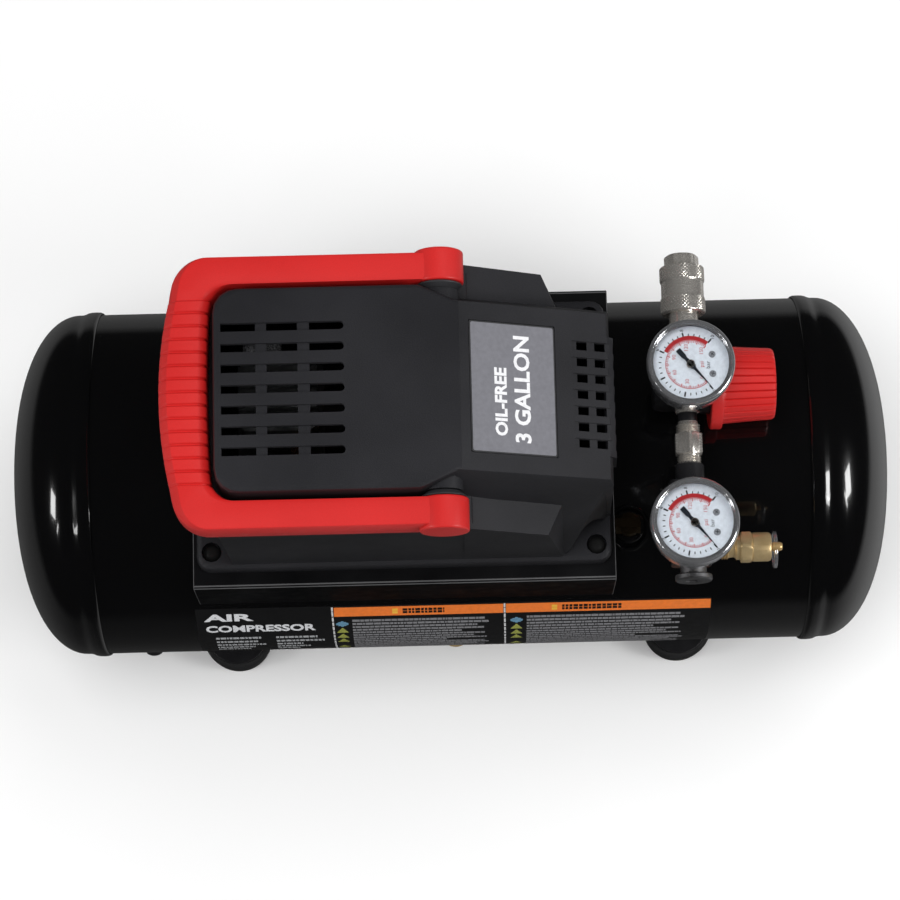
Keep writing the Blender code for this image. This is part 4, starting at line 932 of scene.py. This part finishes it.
def make_needle(name, body, origin, centre):
    """The pointer at zero, with its counterweight and its hub."""
    aim = math.radians(SCALE_START)
    along = Vector((math.cos(aim), math.sin(aim)))
    across = Vector((-along.y, along.x))
    side = [(3.0, 0.72), (1.9, 1.5), (-2.0, 1.0), (-3.6, 0.75), (-5.2, 1.25), (-9.4, 1.3), (-9.6, 1.1)]
    blade = [(15.9, 0.0)] + side + [(u, -v) for u, v in reversed(side)]
    bm = bmesh.new()
    prism(bm, blade, 155.0, 155.5, lambda u, v, h: Vector((*(centre + along * u + across * v), h)))
    hub = [(0, 150.5), (1.3, 150.5), (1.3, 154.3), (2.1, 154.5), (2.1, 156.0), (1.6, 156.5), (0, 156.6)]
    lathe(bm, soften(hub, 0.3), origin, Z_AXIS, 36, slot=1)
    put(name + "_needle", bm, [NEEDLE, HUB], body=body, stands_for=name + "_pointer",
        slot="black_plastic", crease=30)


def make_gauge(name, at, pointer_body):
    origin = (*at, 0)
    centre = Vector(at)
    make_bezel(name, origin)
    make_dial(name, origin, centre)
    make_window(name, origin)
    make_needle(name, pointer_body, origin, centre)


# ---- regulator, coupler, fittings


def make_knob():
    ribs, points, foot = 30, 8, 139.2

    def rib(radius, height, angle):
        if height < foot or radius < 14.5:
            return radius
        phase = (angle * ribs / (2 * math.pi)) % 1.0
        dip = max(0.0, 1 - abs(phase - 0.5) / 0.13)
        return radius - min(1.0, (height - foot) / 0.8) * dip

    profile = [(0, 158.0), (15.0, 158.0), (15.0, 133.0), (22.0, 132.8), (22.5, 133.3), (22.6, 138.0),
               (22.2, 138.8), (20.2, 139.1), (19.9, 139.6), (19.8, 140.4), (18.9, 152.5),
               (18.3, 163.6), (18.0, 165.0), (17.2, 165.9), (15.6, 166.2), (13.8, 166.0),
               (12.8, 165.4), (12.4, 164.6), (6, 164.5), (0, 164.5)]
    turned("regulator_knob_ribbed", RED, profile, KNOB_AT, X_AXIS, ribs * points,
           "regulator_knob", "regulator_knob", "red_plastic", 28, wave=rib)


def make_coupler():
    bm = bmesh.new()
    body = [(3.4, 49.0), (7.4, 49.0), (7.4, 59.0), (7.9, 59.4), (7.9, 82.0), (7.9, 86.9), (7.4, 87.6),
            (6.4, 87.6), (6.2, 87.2), (6.2, 72.0), (4.9, 71.0), (4.9, 60.0), (3.4, 59.0)]
    lathe(bm, soften(body, 0.3), AIR_LINE, Y_AXIS, 64, loop=True)
    turn = math.radians(30)
    nose = [(6.3, 82.0), (8.3, 82.0), (8.9, 82.4), (8.9, 86.4), (8.4, 87.0), (7.8, 87.2), (6.3, 87.2)]
    lathe(bm, nose, AIR_LINE, Y_AXIS, 72, loop=True, wave=hexagon(7.7, 7.3, turn=turn), turn=turn)
    collar = [(5.0, 47.6), (8.4, 47.6), (8.4, 51.0), (5.0, 51.0)]
    lathe(bm, soften(collar, 0.5), AIR_LINE, Y_AXIS, 64, loop=True)
    put("coupler_body_plated", bm, NICKEL, stands_for="coupler_body", slot="nickel", crease=26)

    def knurl(radius, height, angle):
        for low, high in ((56.9, 64.7), (73.3, 81.0)):
            if low < height < high and radius > 11.2:
                u = angle * 40 / (2 * math.pi)
                v = (height - low) / 1.9
                return radius - 0.42 * max(abs(way % 1.0 - 0.5) * 2 for way in (u + v, u - v))
        return radius

    profile = [(8.2, 56.4), (10.4, 56.4), (11.1, 56.8)]
    profile += [(11.6, 57.2 + 0.32 * k) for k in range(23)]
    profile += [(11.1, 64.8), (10.9, 65.2), (10.9, 72.8), (11.1, 73.2)]
    profile += [(11.6, 73.6 + 0.32 * k) for k in range(23)]
    profile += [(11.1, 81.0), (10.4, 81.3), (8.2, 81.3)]
    turned("coupler_sleeve_knurled", NICKEL, profile, AIR_LINE, Y_AXIS, 160, "coupler_sleeve",
           "coupler_sleeve", "nickel", 24, loop=True, wave=knurl)


def threads(low, high, root, crest, pitch=1.3):
    """A turned outline with a V thread drawn as rings."""
    out = []
    while low + pitch <= high + 1e-6:
        out += [(root, low), (crest, low + pitch * 0.5)]
        low += pitch
    return out + [(root, low)]


def make_nipple():
    outline = ([(2.6, -22.6)] + threads(-22.4, -18.2, 5.2, 6.2)
               + [(5.4, -17.9), (6.6, -17.6), (7.8, -16.8), (7.8, -7.2), (6.6, -6.4), (5.4, -6.1)]
               + threads(-5.6, -0.8, 5.2, 6.2) + [(5.0, -0.3), (2.6, -0.3)])
    turned("hex_nipple_plated", NICKEL, outline, AIR_LINE, Y_AXIS, 72, ROOT, "hex_nipple",
           "nickel", 26, loop=True, wave=hexagon(6.8, 6.4), turn=math.radians(30))


def make_front_plug():
    """A round plug with a six-sided socket."""

    def socket(radius, height, angle):
        if radius > 4.5 or height < 79.5:
            return radius
        a = angle % (math.pi / 3) - math.pi / 6
        return radius * math.cos(math.pi / 6) / math.cos(a)

    disc = [(0, 74.3), (6.6, 74.3), (6.6, 79.4), (9.0, 79.6), (9.4, 80.1), (9.4, 82.0), (8.7, 82.8),
            (4.4, 82.8), (4.1, 82.6), (4.1, 80.0), (0, 79.8)]
    turned("front_plug_turned", DULL_STEEL, disc, AIR_LINE, -Y_AXIS, 72, ROOT, "front_plug",
           "chrome", 26, wave=socket)


def stamp(bm, x, angle, width):
    """One small raised mark on the safety valve's barrel."""
    out = Vector((0, -math.cos(angle), math.sin(angle)))
    spot = Vector((x, SAFETY_AT[1], SAFETY_AT[2])) + out * 7.42
    along, side = X_AXIS * 0.35, out.cross(X_AXIS) * width
    corners = [spot, spot + along, spot + along + side, spot + side]
    skin(bm, [[c + out * lift for c in corners] for lift in (-0.3, 0.12)])


def make_safety_valve():
    outline = ([(0, 131.3)] + threads(131.6, 140.4, 5.2, 6.1)
               + [(5.0, 141.2), (5.0, 142.4), (5.6, 143.0), (6.3, 143.4), (6.4, 145.4), (7.4, 145.5),
                  (8.3, 146.1), (8.3, 150.5), (7.4, 151.1), (7.0, 151.3), (7.3, 151.7), (7.4, 152.4),
                  (7.4, 159.6), (7.0, 160.5), (6.2, 161.0), (2.4, 161.0), (2.2, 160.6), (2.2, 152.0),
                  (0, 152.0)])
    bm = bmesh.new()
    spanner = hexagon(7.3, 6.6, 145.3, 151.3, math.radians(30))
    lathe(bm, outline, SAFETY_AT, X_AXIS, 72, wave=spanner)
    random.seed(11)
    for row in range(2):
        for k in range(4):
            for _ in range(2):
                width = random.uniform(0.3, 1.0)
                shift = random.uniform(0, 0.5)
                stamp(bm, 153.4 + k * 1.5 + shift, math.radians(62 + row * 24), width)
    put("safety_valve_brass", bm, PALE_BRASS, stands_for="safety_valve_body", slot="brass", crease=26)

    stem = [(0, 153.5), (1.9, 153.5), (1.9, 161.6), (2.3, 161.8), (2.3, 165.6), (1.7, 166.8), (0, 166.9)]
    bm = bmesh.new()
    lathe(bm, soften(stem, 0.3), SAFETY_AT, X_AXIS, 32)
    for shift in (-0.45, 0.45):
        hoop = []
        for i in range(60):
            a = 2 * math.pi * i / 60
            out = Vector((0, math.sin(a), math.cos(a)))
            centre = Vector((163.6 + shift, SAFETY_AT[1], 107.8)) + out * 9.0
            hoop.append(circle(centre, out, X_AXIS, 0.5, 10))
        skin(bm, hoop, loop=True, slot=1)
    put("safety_valve_pull", bm, [BRASS, CHROME], body="safety_stem", stands_for="safety_valve_stem",
        slot="brass", crease=40)


def make_drain_valve():
    """The valve at the tank's low side; heights are measured from the tank's surface."""

    def coined(radius, height, angle):
        if radius < 5.5 or not TANK_R + 17.6 < height < TANK_R + 25.0:
            return radius
        return radius - 0.35 * abs(math.sin(angle * 14))

    body = [(0, -6.0), (4.5, -6.0), (4.5, 4.8), (6.9, 4.9), (7.8, 5.6), (7.8, 9.7), (6.9, 10.4),
            (4.6, 11.2), (4.6, 16.4), (0, 16.4)]
    knob = [(0, 16.7), (6.0, 16.7), (6.6, 17.4), (6.6, 18.2), (6.6, 24.2), (6.3, 25.2), (5.6, 25.7),
            (0, 25.7)]
    for name, outline, count, wave, rides, node, crease in (
            ("drain_body_brass", body, 72, hexagon(6.9, 6.6), ROOT, "drain_valve_body", 26),
            ("drain_knob_brass", knob, 112, coined, "drain_knob", "drain_valve_knob", 30)):
        raised = [(radius, TANK_R + height) for radius, height in outline]
        turned(name, BRASS, raised, (DRAIN_X, 0, 0), tank_point(DRAIN_ANGLE, 1, 0), count, rides,
               node, "brass", crease, wave=wave)


def make_feet():
    pad = [(0, -117.0), (7.0, -117.0), (7.5, -122.0), (16.8, -122.0), (18.4, -119.6), (19.2, -112.0),
           (19.6, -107.4), (19.3, -105.2), (18.4, -103.9), (17.0, -103.3), (3.1, -103.3), (3.1, -99.6),
           (5.2, -99.6), (4.8, -98.4), (2.6, -95.5), (0, -95.3)]
    for side, x in (("left", -123.4), ("right", 127.0)):
        for place, y in (("front", -67.4), ("rear", 67.4)):
            name = f"foot_{place}_{side}"
            turned(name + "_moulded", RUBBER, soften(pad, 0.5), (x, y, 0), Z_AXIS, 72, ROOT, name,
                   "rubber", 40)


def make_bodies():
    """The cast regulator block, with its bright outlet collar and its knob's bonnet."""
    block = fillet([(104, 101.5), (130.5, 101.5), (130.5, 131.2), (104, 131.2)], [8, 4, 4, 8], 8)
    mid_x, mid_z = 117.25, 116.35
    bm = bmesh.new()
    for ends in (((8.6, 1.0), (9.8, 0.0)), ((9.8, 0.0), (33.8, 0.0)), ((33.8, 0.0), (35.0, 1.0))):
        rings = []
        for y, inset in ends:
            wide, high = 1 - inset / 14, 1 - inset / 15
            rings.append([Vector((mid_x + (u - mid_x) * wide, y, mid_z + (v - mid_z) * high))
                          for u, v in block])
        skin(bm, rings)
    neck = soften([(0, 33), (9.2, 33), (9.2, 47.6), (6.4, 48.6), (0, 48.6)], 0.8)
    bonnet = soften([(0, 128), (14.4, 128), (14.4, 131.6), (13.8, 154), (0, 154)], 0.5)
    collar = soften([(0, 10.0), (6.3, 10.0), (6.3, 4.6), (5.0, 4.0), (0, 4.0)], 0.5)
    spigot = soften([(0, 4.4), (5.0, 4.4), (5.0, 0.0), (0, 0.0)], 0.3)
    lathe(bm, neck, AIR_LINE, Y_AXIS, 72)
    lathe(bm, bonnet, KNOB_AT, X_AXIS, 72)
    lathe(bm, collar, AIR_LINE, Y_AXIS, 64, slot=1)
    lathe(bm, spigot, AIR_LINE, Y_AXIS, 64)
    put("regulator_body_cast", bm, [SATIN, NICKEL], stands_for="regulator_body",
        slot="satin_black_metal", crease=30)


def make_screws():
    head = [(0, 88), (1.9, 88), (1.9, 98.8), (4.6, 98.8), (4.6, 99.8), (4.3, 100.9), (3.5, 101.8),
            (2.3, 102.4), (0, 102.6)]
    for name, x, y in (("front_left", -122.8, -59.5), ("front_right", 73.6, -60.0),
                       ("rear_right", 73.6, 60.0), ("rear_left", -122.8, 59.5)):
        turned("screw_" + name + "_crosshead", SCREW_BLACK, soften(head, 0.3), (x, y, 0), Z_AXIS,
               40, ROOT, "shroud_screw_" + name, "satin_black_metal", 30)


def plate(half_u, half_v, radius):
    """A rectangle about the middle with rounded corners."""
    corners = [(-half_u, -half_v), (half_u, -half_v), (half_u, half_v), (-half_u, half_v)]
    return fillet(corners, [radius] * 4, 4)


def make_shroud_label():
    """A silver-grey plate with a dark border and generic light lettering that reads upwards."""
    tilt = math.atan2(208.0 - 175.0, 78.5 - 3.5)
    up = Vector((math.sin(tilt), 0, math.cos(tilt)))
    right = Vector((math.cos(tilt), 0, -math.sin(tilt)))
    middle = Vector((31.5, 0, 208.0 - (31.5 - 3.5) * math.tan(tilt) - 0.2))

    def place(u, v, h):
        return middle + right * u + Y_AXIS * v + up * h

    half_u, half_v, border = 20.9 / math.cos(tilt), 32.8, 0.7
    bm = bmesh.new()
    prism(bm, plate(half_u, half_v, 1.2), -0.6, 0.05, place, 1)
    prism(bm, plate(half_u - border, half_v - border, 1.0), 0.02, 0.12, place, 0)
    plane = Matrix((right, Y_AXIS, up)).transposed().to_4x4()
    for text, size, u, v in (("OIL-FREE", 8.6, -6.4, -7.0), ("3 GALLON", 11.4, 5.2, 0.0)):
        line = bmesh.new()
        glyphs(line, text, (0, 0), size, 90, 0.0, 2, 0.06, 0.32)
        lay = Matrix.Translation(place(u, v, 0.1)) @ plane
        bmesh.ops.transform(line, matrix=lay, verts=line.verts)
        merge(bm, line)
    put("shroud_label_printed", bm, [LABEL_SILVER, LABEL_EDGE, LABEL_LIGHT],
        stands_for="shroud_label", slot="shroud_label", crease=25)


make_tank()
make_tank_label()
make_handle()
make_gauge("gauge_upper", (121.3, 20.5), "upper_pointer")
make_gauge("gauge_lower", (120.2, -60.2), "lower_pointer")
make_knob()
make_coupler()
make_nipple()
make_front_plug()
make_safety_valve()
make_drain_valve()
make_feet()
make_bodies()
make_screws()
make_shroud_label()


# ---- camera, floor and light


def aim_at(made, at, aim, turn):
    """Places a camera or a light and points it, turned about its own axis."""
    made.location = at
    made.rotation_mode = "QUATERNION"
    look = (Vector(aim) - Vector(at)).to_track_quat("-Z", "Y")
    made.rotation_quaternion = look @ Matrix.Rotation(turn, 3, "Z").to_quaternion()
    bpy.context.scene.collection.objects.link(made)


def place_camera():
    """From above and a little in front, with the slight roll and framing of the product view."""
    rise, roll, away = math.radians(77.7), math.radians(-1.4), 1.8
    aim = Vector((0, 0, TANK_Z * MM))
    data = bpy.data.cameras.new("camera")
    data.sensor_width = 36.0
    data.lens = 132.28
    data.shift_x = -0.0007
    data.shift_y = 0.0287
    data.clip_start = 0.05
    data.clip_end = 20
    made = bpy.data.objects.new("camera", data)
    aim_at(made, aim + Vector((0, -math.cos(rise), math.sin(rise))) * away, aim, roll)
    bpy.context.scene.camera = made


def softbox(name, at, aim, size, watts, turn=0.0, glossy=True):
    """A soft rectangular light; glossy=False hides it from shiny surfaces."""
    data = bpy.data.lights.new(name, "AREA")
    data.shape = "RECTANGLE"
    data.size, data.size_y = size
    data.energy = watts
    made = bpy.data.objects.new(name, data)
    made.visible_glossy = glossy
    aim_at(made, at, aim, turn)


def light_room():
    """A white room for diffuse light. Shiny surfaces see a dark one, paler low down at each end."""
    white, dark = 0.38, 0.012
    world = bpy.data.worlds.new("studio")
    world.use_nodes = True
    tree = world.node_tree
    split = tree.nodes.new("ShaderNodeSeparateXYZ")
    tree.links.new(tree.nodes.new("ShaderNodeTexCoord").outputs["Generated"], split.inputs[0])
    x, y, z = split.outputs
    glow = dark
    for kind, direction, strength in (("MAXIMUM", x, 0.36), ("MINIMUM", x, -0.07), ("MAXIMUM", y, 0.09)):
        part = math_node(tree, "MULTIPLY", math_node(tree, kind, direction, 0.0), strength)
        glow = math_node(tree, "ADD", part, glow)
    low = tree.nodes.new("ShaderNodeMapRange")
    low.inputs["From Min"].default_value = -0.34
    low.inputs["From Max"].default_value = -0.50
    tree.links.new(z, low.inputs["Value"])
    glow = math_node(tree, "MULTIPLY", glow, low.outputs["Result"])
    blend = tree.nodes.new("ShaderNodeMix")
    blend.data_type = "FLOAT"
    blend.inputs[2].default_value = white
    tree.links.new(math_node(tree, "ADD", glow, dark), blend.inputs[3])
    tree.links.new(tree.nodes.new("ShaderNodeLightPath").outputs["Is Glossy Ray"], blend.inputs[0])
    backdrop = tree.nodes["Background"]
    tree.links.new(blend.outputs[0], backdrop.inputs["Strength"])
    backdrop.inputs["Color"].default_value = (1, 1, 1, 1)
    bpy.context.scene.world = world
    bpy.context.scene.view_settings.view_transform = "Standard"


def place_lights():
    slant = math.radians(45)
    softbox("key", (-0.30, -0.25, 2.1), (0, 0, 0.15), (1.0, 0.8), 18, glossy=False)
    softbox("fill", (0.50, 0.55, 1.9), (0, 0, 0.15), (1.2, 1.0), 10, glossy=False)
    softbox("box_left", (-1.25, -0.42, 0.90), (-0.2, 0, 0.12), (0.34, 0.34), 4.0, slant)
    softbox("strip_left", (-1.06, -0.78, 0.92), (-0.2, 0, 0.12), (0.07, 0.18), 0.35)
    softbox("box_right", (1.25, -0.42, 1.02), (0.2, 0, 0.12), (0.42, 0.42), 7.5, slant)
    softbox("strip_right", (1.12, -0.68, 1.02), (0.2, 0, 0.12), (0.08, 0.34), 0.9)


def lay_floor():
    bm = bmesh.new()
    bmesh.ops.create_grid(bm, x_segments=8, y_segments=8, size=3.0)
    mesh = bpy.data.meshes.new("floor")
    bm.to_mesh(mesh)
    bm.free()
    g = Graph("pale_floor", (0.91, 0.91, 0.91), 0.9)
    g.colour(g.tint(g.noise(3, 4), (0.90, 0.90, 0.90), (0.93, 0.93, 0.93)))
    mesh.materials.append(g.mat)
    made = bpy.data.objects.new("floor", mesh)
    made.visible_glossy = False
    bpy.context.scene.collection.objects.link(made)


place_camera()
light_room()
place_lights()
lay_floor()
